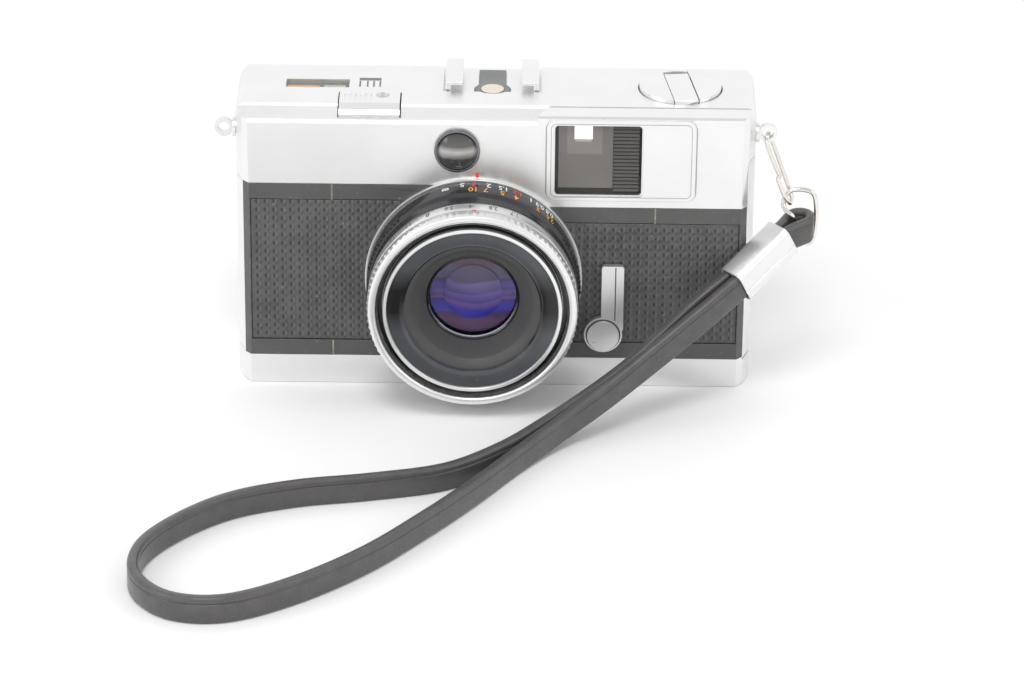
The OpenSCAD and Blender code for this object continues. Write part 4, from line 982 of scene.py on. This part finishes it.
def dress(names, mat, bevel=0.0, segments=2):
    """Gives CAD pieces their finish, and rounds their sharp edges."""
    for name in names:
        obj = nodes[name]
        obj.data.materials.clear()
        obj.data.materials.append(mat)
        if bevel:
            weld = obj.modifiers.new("weld", "WELD")
            weld.merge_threshold = 0.002 * MM
            rounding = obj.modifiers.new("rounded", "BEVEL")
            rounding.width = bevel * MM
            rounding.segments = segments
            rounding.limit_method = "ANGLE"
            rounding.angle_limit = math.radians(35)
            rounding.harden_normals = False


dress(["top_cover", "bottom_cover"], SILVER, 0.18)
dress(["side_plate_left", "finder_frame", "release_button", "rewind_disc", "rewind_crank", "back_door",
       "self_timer_lever", "self_timer_cap", "accessory_shoe", "strap_lugs", "lens_flange",
       "aperture_ring"], SILVER, 0.15)
dress(["front_plate", "end_trims"], PAINT, 0.12)
dress(["chassis", "chassis_plates", "shutter_housing", "lens_cell"], CAST)
dress(["focus_ring"], LENS_BLACK, 0.1)
dress(["meter_bezel"], DARK_CHROME, 0.15)
dress(["finder_window"], CLEAR_GLASS)
dress(["counter_window"], COUNTER_GLASS)
dress(["finder_grille", "finder_tube", "finder_eyepiece", "battery_holder", "takeup_spool",
       "pressure_plate"], PLASTIC)
dress(["thumbwheel"], PLASTIC, 0.1)
dress(["counter_dial"], GREY)
dress(["base_screws", "hinge_pin", "release_spring", "aperture_blades", "rewind_shaft", "rewind_collar",
       "crank_pin", "sprocket", "rewind_button", "battery_cap"], STEEL, 0.08)
dress(["tripod_bush"], BRASS, 0.08)
dress(["shoe_contact"], PALE_METAL, 0.08)
dress(["shoe_insulator"], SLATE)
dress(["battery"], NICKEL, 0.1)
dress(["light_seals"], FOAM)


# ---- studio ----

def add_world():
    """White all round, darker overhead and on the side the camera looks from."""
    world = bpy.data.worlds.new("world")
    world.use_nodes = True
    tree = world.node_tree
    split = texture_axes(tree, "Generated")[1]
    background = tree.nodes["Background"]
    background.inputs["Color"].default_value = (1, 1, 1, 1)
    front_to_back = remap(tree, split["Y"], -0.9, 0.5, 0.82, 1.06)
    overhead = remap(tree, split["Z"], 0.65, 0.98, 1.0, 0.62)
    tree.links.new(math_node(tree, "MULTIPLY", front_to_back, overhead), background.inputs["Strength"])
    bpy.context.scene.world = world


def add_floor():
    """White paper just under the part; sizes in metres."""
    half, z = 3.0, -0.0001
    mesh = bpy.data.meshes.new("floor")
    corners = [(-half, -half, z), (half, -half, z), (half, half, z), (-half, half, z)]
    mesh.from_pydata(corners, [], [(0, 1, 2, 3)])
    paper = material("floor_paper", (0.9, 0.9, 0.9), 0.8, vary=0.01, blotch=20, grain=900, bump=0.05)
    mesh.materials.append(paper)
    floor = bpy.data.objects.new("floor", mesh)
    bpy.context.scene.collection.objects.link(floor)


def add_lamps():
    """Three soft lamps aimed at the middle of the object; places in metres."""
    aim = Vector((0, 0, 0.03))
    for name, place, size, power in (("overhead", (-0.1, -0.45, 0.9), 0.35, 3.0),
                                     ("left", (-0.9, -0.5, 0.6), 0.6, 2.4),
                                     ("right", (0.9, -0.4, 0.6), 0.6, 1.4)):
        lamp = bpy.data.lights.new(name, "AREA")
        lamp.size = size
        lamp.energy = power
        obj = bpy.data.objects.new(name, lamp)
        bpy.context.scene.collection.objects.link(obj)
        obj.location = place
        obj.rotation_euler = (aim - Vector(place)).to_track_quat("-Z", "Y").to_euler()


add_floor()
add_world()
add_lamps()
bpy.context.scene.view_settings.view_transform = "Standard"
